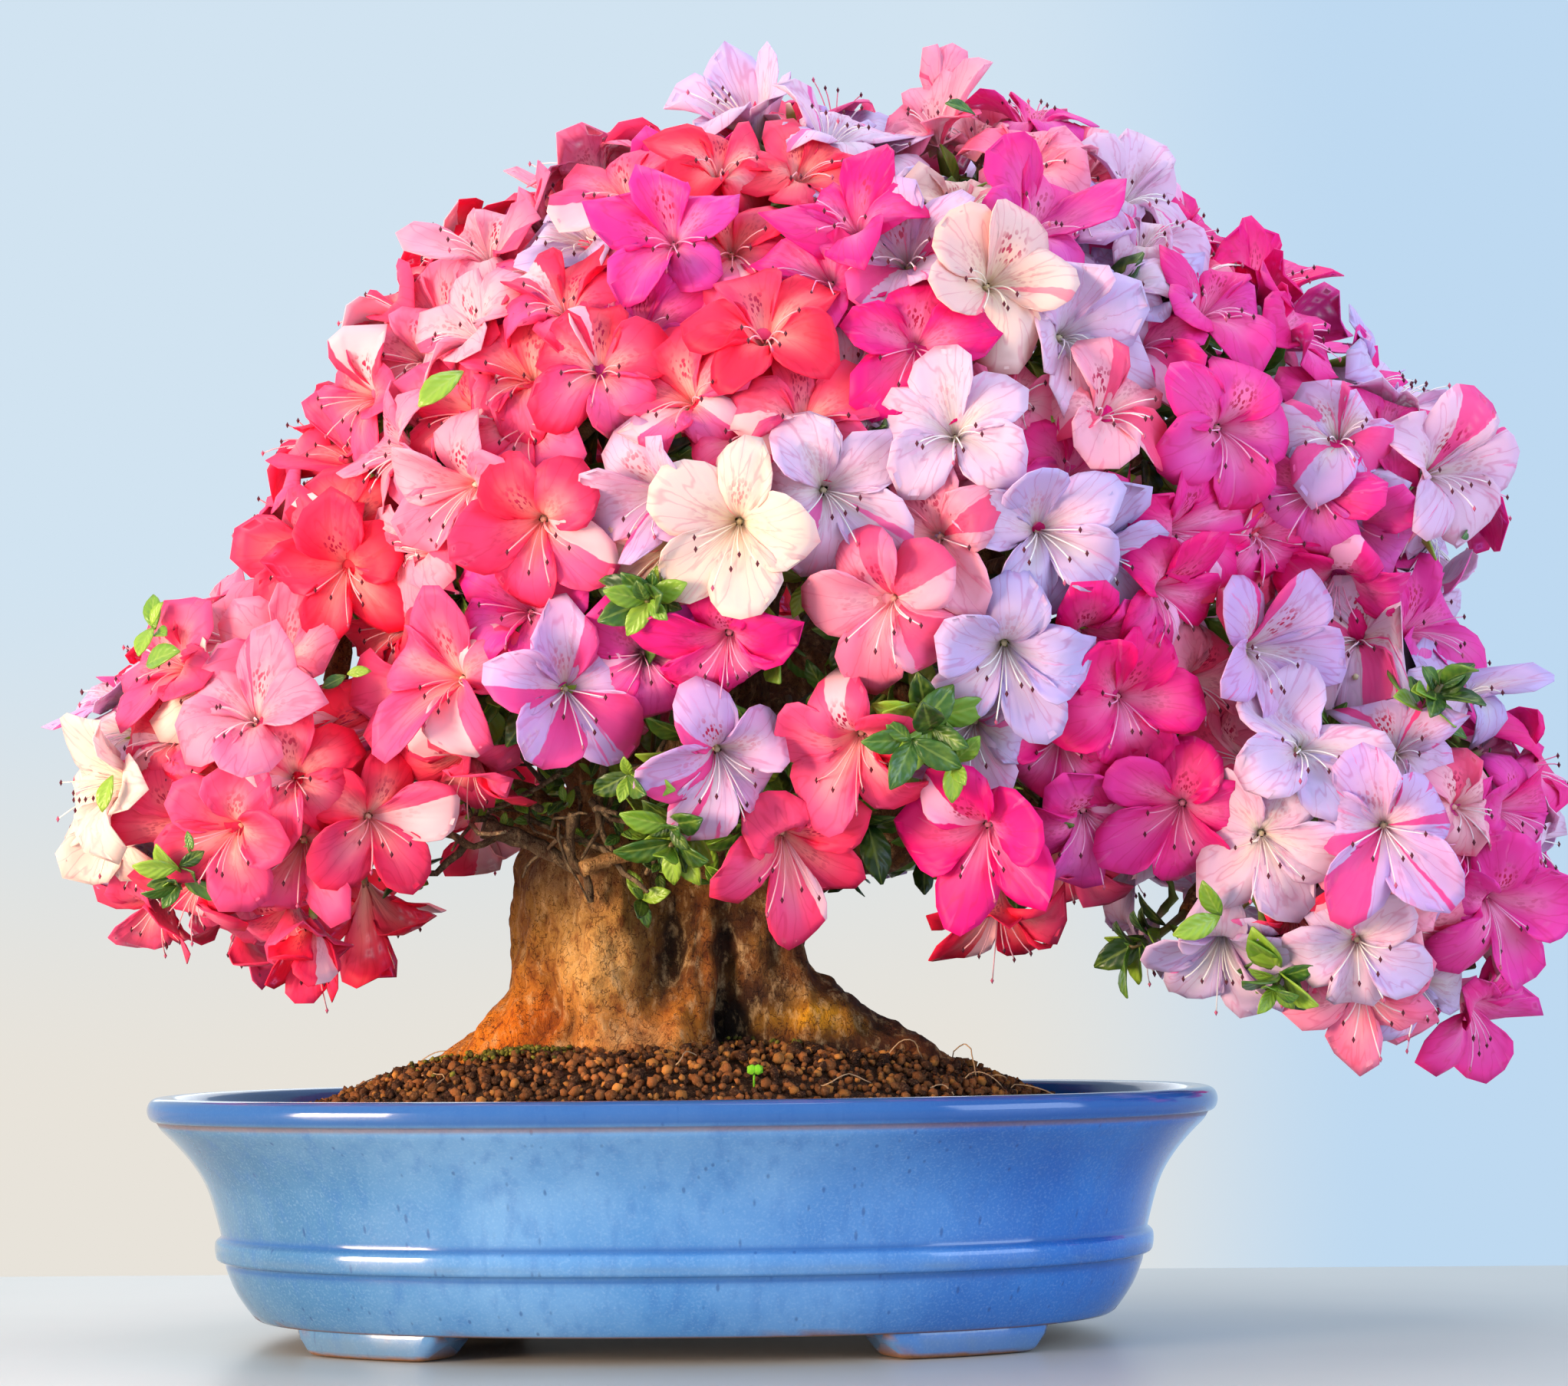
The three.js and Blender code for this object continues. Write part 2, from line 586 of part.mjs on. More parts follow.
// A leaf: a pointed oval blade, flat below and raised along its midrib
function leafSolid(base, along, up, length) {
  const side = along.clone().cross(up).normalize();
  const at = (forward, across, height) =>
    base
      .clone()
      .addScaledVector(along, forward * length)
      .addScaledVector(side, across * length)
      .addScaledVector(up, height)
      .toArray();
  const points = [at(0, 0, 0), at(0.52, -0.22, 0.4), at(1, 0, -0.8), at(0.52, 0.22, 0.4), at(0.5, 0, 1.6)];
  const triangles = [[4, 1, 0], [4, 2, 1], [4, 3, 2], [4, 0, 3], [0, 1, 3], [1, 2, 3]];
  return solidFrom(points, triangles);
}

// A leafy spray: a short twig with leaves in a spiral along it, closer together at its end
function spraySolid(place, out, seed) {
  const random = randomFrom(seed);
  const twig = tubeSolid([-22, -8, 9].map((t) => place.clone().addScaledVector(out, t)), [2.4, 2.2, 1.8], 4);
  const { lift, side } = bloomFrame(out, 0);
  const leaves = [twig];
  for (let i = 0; i < SPRAY_LEAVES; i += 1) {
    const turn = i * 2.4 + random() * 0.3;
    const lean = 0.25 + 0.11 * i;
    const across = side.clone().multiplyScalar(Math.cos(turn)).addScaledVector(lift, Math.sin(turn));
    const along = out.clone().multiplyScalar(lean).add(across).normalize();
    const up = out.clone().addScaledVector(along, -out.dot(along)).normalize();
    const base = place.clone().addScaledVector(out, -13 + 4 * i);
    leaves.push(leafSolid(base.addScaledVector(along, -0.5), along, up, 22 + 5 * random()));
  }
  return unite(leaves);
}

// The trunk divides into limbs, and each limb carries the branches whose tips are nearest to it
const LIMBS = [
  [[-24, 2, 184], [-66, 4, 210], [-118, -16, 216]],
  [[-14, 4, 186], [-48, 10, 250], [-70, 8, 322]],
  [[4, 0, 188], [28, 6, 270], [52, 6, 372]],
  [[20, -4, 184], [92, -16, 246], [140, -14, 318]],
  [[24, 0, 178], [120, -4, 206], [214, -6, 196]],
  [[2, -14, 184], [14, -58, 228], [22, -92, 268]],
  [[4, 14, 184], [34, 66, 238], [56, 102, 282]],
];

const LIMB_THICKNESS = [0.6, 1, 1, 1, 1, 0.9, 1];

function limbPoints(limb) {
  const curve = new THREE.QuadraticBezierCurve3(...limb.map((p) => vec(...p)));
  return curve.getPoints(4);
}

// The limbs and branches as tubes, grown by a margin on every side
function woodTubes(tips, grown) {
  const tubes = [];
  const forks = [];
  const tube = (line, radii, sides) => {
    const wider = radii.map((radius) => radius + grown / Math.cos(Math.PI / sides));
    const end = line[line.length - 1];
    const further = end.clone().sub(line[line.length - 2]).setLength(grown);
    tubes.push(tubeSolid([...line.slice(0, -1), end.clone().add(further)], wider, sides));
  };
  LIMBS.forEach((limb, i) => {
    const line = limbPoints(limb);
    tube(line, [24, 17, 12.5, 9.5, 6].map((radius) => radius * LIMB_THICKNESS[i]), 6);
    forks.push(...line.slice(1));
  });
  for (const tip of tips) {
    const fork = forks.reduce((a, b) => (a.distanceTo(tip.end) < b.distanceTo(tip.end) ? a : b));
    const bend = fork.clone().lerp(tip.end, 0.5).add(vec(0, 0, -6));
    tube([fork, bend, tip.end], [6.5, 5, 3], 3);
  }
  return tubes;
}

// Each material's colour, roughness and metalness
const FINISHES = {
  glaze: [0x5f8ccf, 0.2, 0],
  soil: [0x6b3f22, 0.95, 0],
  bark: [0x8a6547, 0.85, 0],
  mesh: [0x23262a, 0.6, 0],
  wire: [0xa9a9ac, 0.35, 1],
  leaf: [0x3c6b1c, 0.6, 0],
  C: [0xff6f8a, 0.55, 0],
  M: [0xe8409a, 0.55, 0],
  P: [0xf2b8cc, 0.55, 0],
  W: [0xece4ee, 0.55, 0],
};

// The pieces in the order they are made: name, solid and finish
const pieces = [];
const addPiece = (name, solid, finish) => pieces.push({ name, solid: largestBody(solid), finish });

// The mesh of a piece, moved by an offset, with points that all but touch made one
function pieceMesh({ name, solid, finish }, offset) {
  const { vertProperties, triVerts } = solid.getMesh();
  const raw = new THREE.BufferGeometry();
  raw.setAttribute("position", new THREE.BufferAttribute(vertProperties, 3));
  raw.setIndex(new THREE.BufferAttribute(triVerts, 1));
  raw.translate(offset.x, offset.y, offset.z);
  const body = largestBody(solidFromGeometry(raw)).getMesh();
  const geometry = new THREE.BufferGeometry();
  geometry.setAttribute("position", new THREE.BufferAttribute(body.vertProperties, 3));
  geometry.setIndex(new THREE.BufferAttribute(body.triVerts, 1));
  geometry.computeVertexNormals();
  const [color, roughness, metalness] = FINISHES[finish];
  const mesh = new THREE.Mesh(geometry, new THREE.MeshStandardMaterial({ color, roughness, metalness }));
  mesh.name = name;
  return mesh;
}

// The colour that most of a bunch's blooms have; striped ones count as white
function mainColour(blooms) {
  const count = (colour) => blooms.filter((b) => b.colour.replace("S", "W") === colour).length;
  return ["C", "M", "P", "W"].reduce((a, b) => (count(b) > count(a) ? b : a));
}

const FRONT_APART = 38; // blooms of the front closer than this to a larger one are left to the finish

function keptBlooms() {
  const kept = [];
  for (const bloom of frontBlooms().sort((a, b) => b.rank - a.rank)) {
    if (kept.every((b) => b.place.distanceTo(bloom.place) > FRONT_APART)) kept.push(bloom);
  }
  return [...kept, ...otherBlooms(kept)];
}

const LEAF_WEIGHT = -2000; // makes a spray's cell smaller than a bunch's

function leafCentres() {
  const centres = readRows(FRONT_LEAVES).map(([px, py]) => {
    const { place, normal } = canopySeen(Number(px), Number(py));
    return { place: place.addScaledVector(normal, 2), out: normal };
  });
  for (const [x, y, z] of [[-0.4, 0.6, -0.5], [0.35, 0.75, -0.3]]) {
    const { place, normal } = canopyTowards(vec(x, y, z).normalize());
    centres.push({ place: place.addScaledVector(normal, 2), out: normal });
  }
  return centres.map((c) => ({ ...c, weight: LEAF_WEIGHT }));
}

const sprays = leafCentres();
const tips = branchTips(sprays);
const centres = [...tips, ...sprays];
const nearestTip = (point) =>
  tips.reduce((a, b) => (a.place.distanceTo(point) <= b.place.distanceTo(point) ? a : b));
for (const bloom of keptBlooms()) {
  const tip = nearestTip(bloom.place);
  const spread = bloom.place.clone().sub(tip.place).normalize();
  const out = bloom.out.clone().addScaledVector(spread, BUNCH_SPREAD).normalize();
  tip.blooms.push({ ...bloom, ...bloomFrame(out, bloom.tilt) });
}
const shell = surfacePlaces().filter((_, i) => i % 5 === 0);
for (const tip of tips) tip.shell = shell.filter((spot) => spot.place.distanceTo(tip.surface) < SHELL_REACH);

const bunches = tips.filter((tip) => tip.blooms.length > 0);
for (const spray of sprays) spray.end = spray.place.clone().addScaledVector(spray.out, -22);

addPiece("pot", potSolid(), "glaze");
addPiece("soil", soilSolid(), "soil");
for (const [side, x] of [["left", -DRAIN_X], ["right", DRAIN_X]]) {
  addPiece(`drainage_screen_${side}`, screenSolid(x), "mesh");
  addPiece(`drainage_wire_${side}`, wireSolid(x), "wire");
}
addPiece("trunk", unite([stemSolid(0), ...woodTubes([...bunches, ...sprays], 0)]), "bark");

// A bunch or spray stays in its own cell, and branches enter it in plain holes
const holes = [stemSolid(GAP), ...woodTubes([...bunches, ...sprays], GAP)];
const fitted = (solid, own) => holes.reduce((left, hole) => left.subtract(hole), keepCell(solid, own, centres));

bunches.forEach((tip, i) => {
  const number = String(i + 1).padStart(2, "0");
  addPiece(`bloom_bunch_${number}`, fitted(bunchSolid(tip), tip), mainColour(tip.blooms));
});
sprays.forEach((spray, i) => {
  const number = String(i + 1).padStart(2, "0");
  addPiece(`leafy_spray_${number}`, fitted(spraySolid(spray.place, spray.out, 300 + i), spray), "leaf");
});

const bounds = pieces.map(({ solid }) => solid.boundingBox());
const middleOf = (k) =>
  (Math.min(...bounds.map((b) => b.min[k])) + Math.max(...bounds.map((b) => b.max[k]))) / 2;
const toOrigin = vec(-middleOf(0), -middleOf(1), 0);

const bonsai = new THREE.Group();
for (const piece of pieces) bonsai.add(pieceMesh(piece, toOrigin));

export default bonsai;
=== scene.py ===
"""A satsuki azalea bonsai in bloom, in its oval glazed pot: the finished surfaces round the fixed frame.

Sizes and places are millimetres in the pot's own frame (origin under the pot's middle, +Z up, front
towards -Y). new_mesh turns them into the frame's metres."""
import json
import math

import bpy
import numpy as np
from mathutils import Matrix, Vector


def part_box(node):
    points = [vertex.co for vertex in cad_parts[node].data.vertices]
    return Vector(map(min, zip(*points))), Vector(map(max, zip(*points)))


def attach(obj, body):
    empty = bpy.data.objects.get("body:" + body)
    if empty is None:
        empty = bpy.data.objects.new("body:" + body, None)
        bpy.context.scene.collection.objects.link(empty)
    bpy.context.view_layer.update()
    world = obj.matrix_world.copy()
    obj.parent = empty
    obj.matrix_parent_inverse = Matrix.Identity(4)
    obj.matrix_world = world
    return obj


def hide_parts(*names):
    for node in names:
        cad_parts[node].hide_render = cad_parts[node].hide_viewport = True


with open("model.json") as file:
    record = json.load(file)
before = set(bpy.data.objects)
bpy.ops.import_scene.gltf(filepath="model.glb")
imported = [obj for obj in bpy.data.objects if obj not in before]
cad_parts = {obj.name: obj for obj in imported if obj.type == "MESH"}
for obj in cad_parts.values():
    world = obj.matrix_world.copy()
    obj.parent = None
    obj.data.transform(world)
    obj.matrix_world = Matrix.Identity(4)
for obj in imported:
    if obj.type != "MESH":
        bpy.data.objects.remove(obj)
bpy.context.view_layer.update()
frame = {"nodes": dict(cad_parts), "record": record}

POT_LOW, POT_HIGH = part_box("pot")
ORIGIN = np.array([(POT_LOW[0] + POT_HIGH[0]) / 2, (POT_LOW[1] + POT_HIGH[1]) / 2, 0.0])

# The pot and the soil
RIM_HALF = np.array([200.0, 150.0])
POT_HEIGHT = 91.5
POT_SQUARENESS = 2.35  # exponent of the oval: 2 is an ellipse
BASE_Z = 9.4
FLOOR_Z = 19.0
DRAIN_X = 75.0
DRAIN_RADIUS = 12.0
SOIL_EDGE_Z = 84.0
MOUND_RISE = 24.0

# The trunk's foot, its surface roots and the old hollow on its front, by angle round it in degrees
TRUNK_X = -6.0
TRUNK_FOOT_Z = 86.0
TRUNK_TOP_Z = 196.0
ROOT_LEVEL = 100.0
ROOTS = [
    dict(angle=188, reach=33, width=15, rise=30),
    dict(angle=216, reach=15, width=14, rise=19),
    dict(angle=268, reach=20, width=20, rise=16),
    dict(angle=334, reach=17, width=8, rise=26),
    dict(angle=352, reach=52, width=10, rise=39),
    dict(angle=35, reach=30, width=15, rise=29),
    dict(angle=85, reach=34, width=17, rise=33),
    dict(angle=140, reach=33, width=15, rise=30),
]
HOLLOW = dict(foot=317, slant=9, width=11, narrows=7.5, z=104, height=46, depth=27)

# Narrow fissures that run up the trunk: angle, width in degrees, depth, lowest and highest point
FISSURES = [
    dict(angle=309, width=4, depth=4, low=134, high=178),
    dict(angle=276, width=4, depth=5, low=116, high=176),
    dict(angle=285, width=3.5, depth=3.5, low=112, high=170),
    dict(angle=325, width=5, depth=5, low=112, high=165),
    dict(angle=8, width=6, depth=6, low=110, high=180),
    dict(angle=60, width=5, depth=7, low=106, high=185),
    dict(angle=112, width=6, depth=9, low=106, high=175),
    dict(angle=164, width=5, depth=6, low=108, high=180),
    dict(angle=214, width=5, depth=6, low=104, high=132),
]

# The limbs, each a curve from its start towards its bend to its end, and their radii along them
LIMBS = [
    [[-24, 2, 184], [-66, 4, 210], [-118, -16, 216]],
    [[-14, 4, 186], [-48, 10, 250], [-70, 8, 322]],
    [[4, 0, 188], [28, 6, 270], [52, 6, 372]],
    [[20, -4, 184], [92, -16, 246], [140, -14, 318]],
    [[24, 0, 178], [120, -4, 206], [214, -6, 196]],
    [[2, -14, 184], [14, -58, 228], [22, -92, 268]],
    [[4, 14, 184], [34, 66, 238], [56, 102, 282]],
]
LIMB_RADII = [24, 17, 12.5, 9.5, 6]
LIMB_THICKNESS = [0.6, 1, 1, 1, 1, 0.9, 1]
BRANCH_RADII = [6.5, 5, 3]

# The camera of the reference view: places read in it become places on the tree
VIEW = dict(
    width=2044, height=1807, focal=4340, distance=1270, eye_height=122, round=5, heading=-3.22,
    pitch=5.4, roll=0.67,
)
SENSOR_WIDTH = 36.0

# The canopy as rounded pads of bloom: centre and half sizes
PADS = np.array([
    [[60, 8, 299], [212, 168, 170]],
    [[-145, -8, 213], [86, 104, 73]],
    [[-98, 0, 292], [68, 100, 54]],
    [[240, -6, 186], [88, 112, 88]],
    [[236, 0, 306], [68, 104, 62]],
    [[-22, -38, 236], [104, 96, 56]],
    [[112, -14, 204], [86, 108, 58]],
], float)
CANOPY = np.array([50.0, 0.0, 262.0])

# Where the reference view shows the trunk's left shoulder with twigs and leaves, and no bloom: its
# pixels, how far back its line of sight stays clear, and the y at which twigs start and leaves sit
WINDOW = dict(left=600, right=880, top=985, bottom=1230, behind=30, twigs=-64, leaves=-56)

# Twigs there: their radius in millimetres and the pixels they pass, and a cut stub's pale wood
WINDOW_TWIGS = [
    (1.6, [(540, 1072), (567, 1083), (592, 1090), (618, 1104), (655, 1088)]),
    (3.4, [(630, 1080), (660, 1088), (694, 1100), (727, 1118), (758, 1134)]),
    (1.9, [(748, 1060), (742, 1092), (746, 1120), (764, 1142), (770, 1176)]),
    (1.5, [(788, 1000), (780, 1045), (784, 1085), (806, 1120)]),
    (1.4, [(836, 1030), (850, 1070), (856, 1110), (842, 1140)]),
]
CUT_STUB = (2.6, [(758, 1134), (790, 1122), (824, 1115), (858, 1114)])

# The tangle of other twigs there: how many, and the pixels between which they start
TANGLE = dict(twigs=34, left=610, right=890, top=985, bottom=1085)

# Leaves there: where each rosette sits, its number of leaves and their length in millimetres
WINDOW_LEAVES = [
    (820, 1040, 6, 17), (905, 1092, 7, 18), (930, 1142, 5, 14), (838, 1172, 5, 11), (700, 1062, 5, 9),
    (790, 1025, 6, 8), (655, 1078, 4, 8), (735, 1045, 5, 8), (762, 1090, 5, 7), (812, 1085, 5, 9),
    (720, 1010, 6, 10), (668, 1035, 5, 9), (860, 1130, 6, 12), (770, 1012, 5, 8), (640, 1048, 5, 9),
]

# Leaves that stand out among the blooms of the front: pixel, number of leaves and their length
LEAF_TUFTS = [
    (212, 835, 4, 17), (200, 876, 1, 17), (158, 1010, 1, 20), (250, 1078, 1, 12), (240, 1121, 2, 17),
    (448, 888, 2, 15), (612, 490, 1, 18), (1268, 164, 1, 15), (1185, 955, 5, 20), (1240, 985, 4, 17),
    (1900, 690, 1, 14), (828, 1000, 5, 17), (880, 1062, 5, 17), (1598, 1188, 2, 16),
]

# Buds that stand out of the canopy's edge: pixel, size and colour as for the blooms
BUDS = "945 130 40 C, 1022 118 40 C, 1225 112 34 P, 1795 455 42 M, 402 1228 44 C"

BLOOM_RADIUS = 29.0
FULL_FACE = 115.0  # radius in the reference view's pixels of a bloom seen full face
BUD_FACE = 60.0  # and of a bud as large as a bloom
TO_EYE = 0.55  # how far a full face is turned from the canopy's normal to the eye
FRONT_RISE = 14.0  # how much further out a full face stands than a bloom of hardly any size
FRONT_APART = 38.0  # blooms of the front closer than this to a larger one sit among the others
OTHERS_APART = 48.0  # how far the blooms of the sides, back and top keep from each other
FILL_APART = 31.0  # and those that fill the gaps
AMONG_SUNK = 5.0  # how deep the blooms among the others sit, and the ones in the gaps
FILL_SUNK = 6.0
TIPS_APART = 104.0  # how far the branch tips keep from each other, and lie under the blooms
TIP_DEPTH = 26.0
SPRAY_CLEAR = 55.0  # how far they keep from a leafy spray
BUNCH_SPREAD = 0.5  # how much a bloom turns away from its bunch's middle

# Places tried all over the canopy, and how low they go: -1 would be straight down from its middle
TIP_TRIES = dict(tries=600, lowest=-0.62)
FILL_TRIES = dict(tries=1500, lowest=-0.66)
FOLIAGE_TRIES = dict(tries=360, lowest=-0.8)

# Leaves to a rosette and their length: on the sprays, and under the blooms
SPRAY_LEAVES = (8, 20)
INNER_LEAVES = (6, 21)

# Seeds of the random draws; the first two are the solids' own
SEEDS = dict(
    front=41, others=977, creases=67, fill=1361, openness=311, twigs=29, soil=88, foliage=640,
    bunches=5000, sprays=7000,
)

# Blooms of the front as read from the reference view: place and radius in its pixels, and colour
# (C coral, M magenta, P pale pink, W white, Y cream, S white with pink stripes)
FRONT_BLOOMS = """
130 1015 75 Y, 115 1085 60 Y, 150 1150 50 W, 125 880 45 S, 120 930 45 W, 250 785 40 P, 205 850 60 C,
190 940 60 C, 170 1030 50 C, 180 1120 45 C, 210 1090 70 C, 260 1010 60 C, 290 1090 75 C, 230 1180 55 C,
310 1170 75 C, 370 1230 50 C, 390 1120 80 C, 490 1065 105 C, 380 1010 85 C, 440 960 60 C, 285 800 60 P,
365 830 75 P, 260 880 65 Y, 320 920 80 P, 440 750 70 C, 370 720 65 C, 430 665 60 C, 415 570 45 C,
450 510 60 C, 490 580 60 P, 505 445 55 P, 535 385 45 P, 580 325 40 W, 590 375 45 M, 620 300 55 P,
665 255 55 P, 705 225 40 P, 755 185 45 P, 735 280 65 W, 675 315 60 C, 725 375 65 C, 790 345 55 P,
800 230 70 C, 850 215 45 M, 590 410 50 P, 645 395 40 W, 565 470 50 C, 570 520 60 C, 665 470 75 C,
665 545 70 C, 780 470 85 C, 830 400 60 M, 880 500 85 C, 590 640 85 P, 520 700 80 P, 700 690 110 C,
840 640 90 S, 840 725 50 W, 670 790 75 M, 580 880 105 C, 475 810 45 C, 745 900 110 S, 590 1030 75 C,
840 860 80 M, 940 850 80 M, 955 690 110 Y, 1085 640 105 W, 1150 560 60 S, 950 990 115 S, 1035 1110 105 C,
1110 980 105 C, 1150 790 115 P, 890 170 50 M, 940 200 85 C, 1050 190 80 C, 1090 150 60 W, 1140 150 45 S,
1140 200 45 W, 1105 270 75 M, 870 300 80 M, 950 290 50 C, 970 335 50 C, 1215 140 70 P, 1275 140 60 P,
1265 235 75 Y, 1180 310 85 S, 1065 340 80 M, 995 420 100 C, 1120 410 45 M, 1195 440 75 M, 1115 480 65 W,
1050 530 75 C, 970 545 60 C, 1300 365 115 Y, 1350 130 60 M, 1425 145 35 M, 1475 190 45 M, 1345 190 65 P,
1410 195 55 P, 1360 280 90 M, 1430 250 60 S, 1490 230 60 W, 1500 285 60 S, 1580 270 55 M, 1625 290 40 M,
1590 310 50 P, 1520 350 55 W, 1470 340 60 W, 1410 430 105 W, 1510 420 50 M, 1590 385 80 M, 1665 350 60 M,
1700 420 85 M, 1755 490 60 M, 1240 550 85 W, 1215 700 100 P, 1310 590 60 P, 1360 690 100 W, 1450 720 80 W,
1310 860 105 W, 1455 520 85 P, 1420 600 70 M, 1365 560 35 M, 1330 495 40 P, 1600 565 120 M, 1710 640 90 M,
1665 700 40 M, 1745 550 65 S, 1770 635 45 W, 1825 530 75 M, 1885 610 105 S, 1570 690 80 M, 1540 780 65 M,
1640 745 45 C, 1780 710 50 M, 1840 715 45 P, 1920 715 55 W, 1650 840 115 S, 1745 780 65 M, 1860 810 95 M,
1770 860 85 S, 1920 880 80 W, 1430 850 90 M, 1470 910 90 M, 1390 980 75 M, 1275 1090 120 M, 1425 1090 100 M,
1540 1060 110 M, 1300 1210 85 C, 1400 1175 45 C, 1470 1240 60 W, 1590 1250 100 W, 1600 900 45 P,
1610 965 45 P, 1710 970 105 W, 1830 960 75 S, 1650 1100 105 W, 1800 1080 115 S, 1870 1130 55 S,
1930 1050 45 P, 1950 1105 60 M, 1960 1190 90 M, 1995 1260 55 P, 1940 1330 80 M, 1810 1180 75 P,
1770 1240 85 W, 1865 1240 45 P, 1780 1325 80 P, 1690 1240 50 C, 1640 1270 60 W, 1710 1280 40 P,
1865 1310 40 W"""

# Blooms deep in the creases between the pads, which the solids leave out
CREASE_BLOOMS = "480 820 60 C, 505 885 70 C, 535 960 60 C, 560 1010 55 C, 455 905 55 C, 1480 960 55 M"

# Leafy sprays seen in the gaps of the front, and where more of them hang behind
FRONT_LEAVES = "240 1140, 850 780, 880 1090, 1210 940, 1490 1225, 1665 1275, 1868 905"
BACK_LEAVES = [[-0.4, 0.6, -0.5], [0.35, 0.75, -0.3]]


# Small tools


def repeatable_draws(seed):
    """The solids' random numbers from 0 to 1: the state times 16807, modulo 2 to the 31st less 1."""
    state, modulus = seed, 2**31 - 1
    while True:
        state = state * 16807 % modulus
        yield state / modulus


def unit(vectors):
    """Vectors divided by their lengths."""
    return vectors / np.linalg.norm(vectors, axis=-1, keepdims=True)


def smooth_step(low, high, values):
    """0 below low, 1 above high, and 3t^2 - 2t^3 between them."""
    part = np.clip((values - low) / (high - low), 0, 1)
    return part * part * (3 - 2 * part)


def stacked(*parts):
    """Arrays broadcast together and stacked along a new last axis, as the coordinates of points."""
    return np.stack(np.broadcast_arrays(*parts), -1)


def hump(values, middle, width, power=2):
    """e^-((values - middle) / width)^power: 1 at the middle, with a flatter top for a higher power."""
    return np.exp(-(((values - middle) / width) ** power))


def linear(code):
    """An sRGB hex colour as linear red, green and blue, or a list of them as rows."""
    if not isinstance(code, str):
        return np.array([linear(one) for one in code])
    value = np.array([int(code[i:i + 2], 16) for i in (1, 3, 5)]) / 255
    return np.where(value <= 0.04045, value / 12.92, ((value + 0.055) / 1.055) ** 2.4)


def value_noise(points, size, seed):
    """Smooth values from -1 to 1: a hashed number at each corner of a lattice of that size, blended
    with smoothed weights between the eight corners of a point's cell."""
    scaled = points / size
    cell = np.floor(scaled).astype(np.int64)
    part = scaled - cell
    part = part * part * (3 - 2 * part)
    total = np.zeros(points.shape[:-1])
    for corner in np.ndindex(2, 2, 2):
        weight = np.prod(np.where(corner, part, 1 - part), axis=-1)
        key = ((cell + corner) @ np.array([73856093, 19349663, 83492791]) + seed * 7919) & 0x7FFFFFFF
        key = (key ^ (key >> 13)) * 60493 & 0x7FFFFFFF
        total += weight * (((key ^ (key >> 11)) & 0xFFFF) / 32767.5 - 1)
    return total


# Surfaces: points, faces and values at the points, joined and turned into meshes


class Surface:
    """Points in millimetres, faces of four and of three corners, and values given at the points."""

    def __init__(self, points, quads=(), triangles=(), **values):
        self.points = np.asarray(points, float).reshape(-1, 3)
        self.quads = np.asarray(quads, np.int64).reshape(-1, 4)
        self.triangles = np.asarray(triangles, np.int64).reshape(-1, 3)
        count = len(self.points)
        self.values = {
            name: np.broadcast_to(value, (count, np.shape(value)[-1])) for name, value in values.items()
        }

    def valued(self, **values):
        """The same points and faces with other values."""
        return Surface(self.points, self.quads, self.triangles, **values)


def join(surfaces):
    """One surface of several that carry the same values."""
    starts = np.cumsum([0] + [len(s.points) for s in surfaces])
    return Surface(
        np.concatenate([s.points for s in surfaces]),
        np.concatenate([s.quads + start for s, start in zip(surfaces, starts)]),
        np.concatenate([s.triangles + start for s, start in zip(surfaces, starts)]),
        **{name: np.concatenate([s.values[name] for s in surfaces]) for name in surfaces[0].values},
    )


def grid_quads(rows, columns, closed=False):
    """Faces of a grid of points, facing along row direction x column direction; closed joins the last
    column to the first."""
    row = np.arange(rows - 1)[:, None] * columns
    column = np.arange(columns if closed else columns - 1)[None, :]
    near = row + column
    far = row + (column + 1) % columns
    return stacked(near, near + columns, far + columns, far).reshape(-1, 4)


def copies(faces, points_each, count):
    """The same faces for each of several blocks of points."""
    return (faces[None] + np.arange(count)[:, None, None] * points_each).reshape(-1, faces.shape[-1])


def shell_faces(rows, columns):
    """Faces of a thin closed blade: its front grid, its back grid turned round, and its rim."""
    front = grid_quads(rows, columns)
    each = rows * columns
    edge = np.concatenate([
        np.arange(columns),
        np.arange(2, rows + 1) * columns - 1,
        np.arange(each - 2, each - columns - 1, -1),
        np.arange(rows - 2, 0, -1) * columns,
    ])
    after = np.roll(edge, -1)
    rim = stacked(edge, after, after + each, edge + each)
    return np.concatenate([front, front[:, ::-1] + each, rim])


def shell_points(middle, thick):
    """Front and back points of a blade, half its thickness to each side of its middle grid, along the
    grid's normal (the row step crossed with the column step)."""
    normal = unit(np.cross(np.gradient(middle, axis=-3), np.gradient(middle, axis=-2)))
    return np.stack([middle + normal * thick / 2, middle - normal * thick / 2], axis=-4)


def bent_line(start, bend, end, steps):
    """A quadratic curve through its start and end, drawn towards its bend."""
    t = np.linspace(0, 1, steps)[:, None]
    return np.array(start) * (1 - t) ** 2 + 2 * np.array(bend) * t * (1 - t) + np.array(end) * t**2


def curve_through(points, steps):
    """A smooth curve through a row of points, with steps to each stretch: a cubic from point to point
    whose direction at a point is half the step from the one before it to the one after it."""
    points = np.asarray(points, float)
    padded = np.concatenate([2 * points[:1] - points[1:2], points, 2 * points[-1:] - points[-2:-1]])
    t = np.linspace(0, 1, steps, endpoint=False)[None, :, None]
    p = [padded[i:len(padded) - 3 + i][:, None] for i in range(4)]
    curve = 0.5 * (
        2 * p[1] + (p[2] - p[0]) * t + (2 * p[0] - 5 * p[1] + 4 * p[2] - p[3]) * t**2
        + (3 * p[1] - p[0] - 3 * p[2] + p[3]) * t**3
    )
    return np.concatenate([curve.reshape(-1, points.shape[1]), points[-1:]])


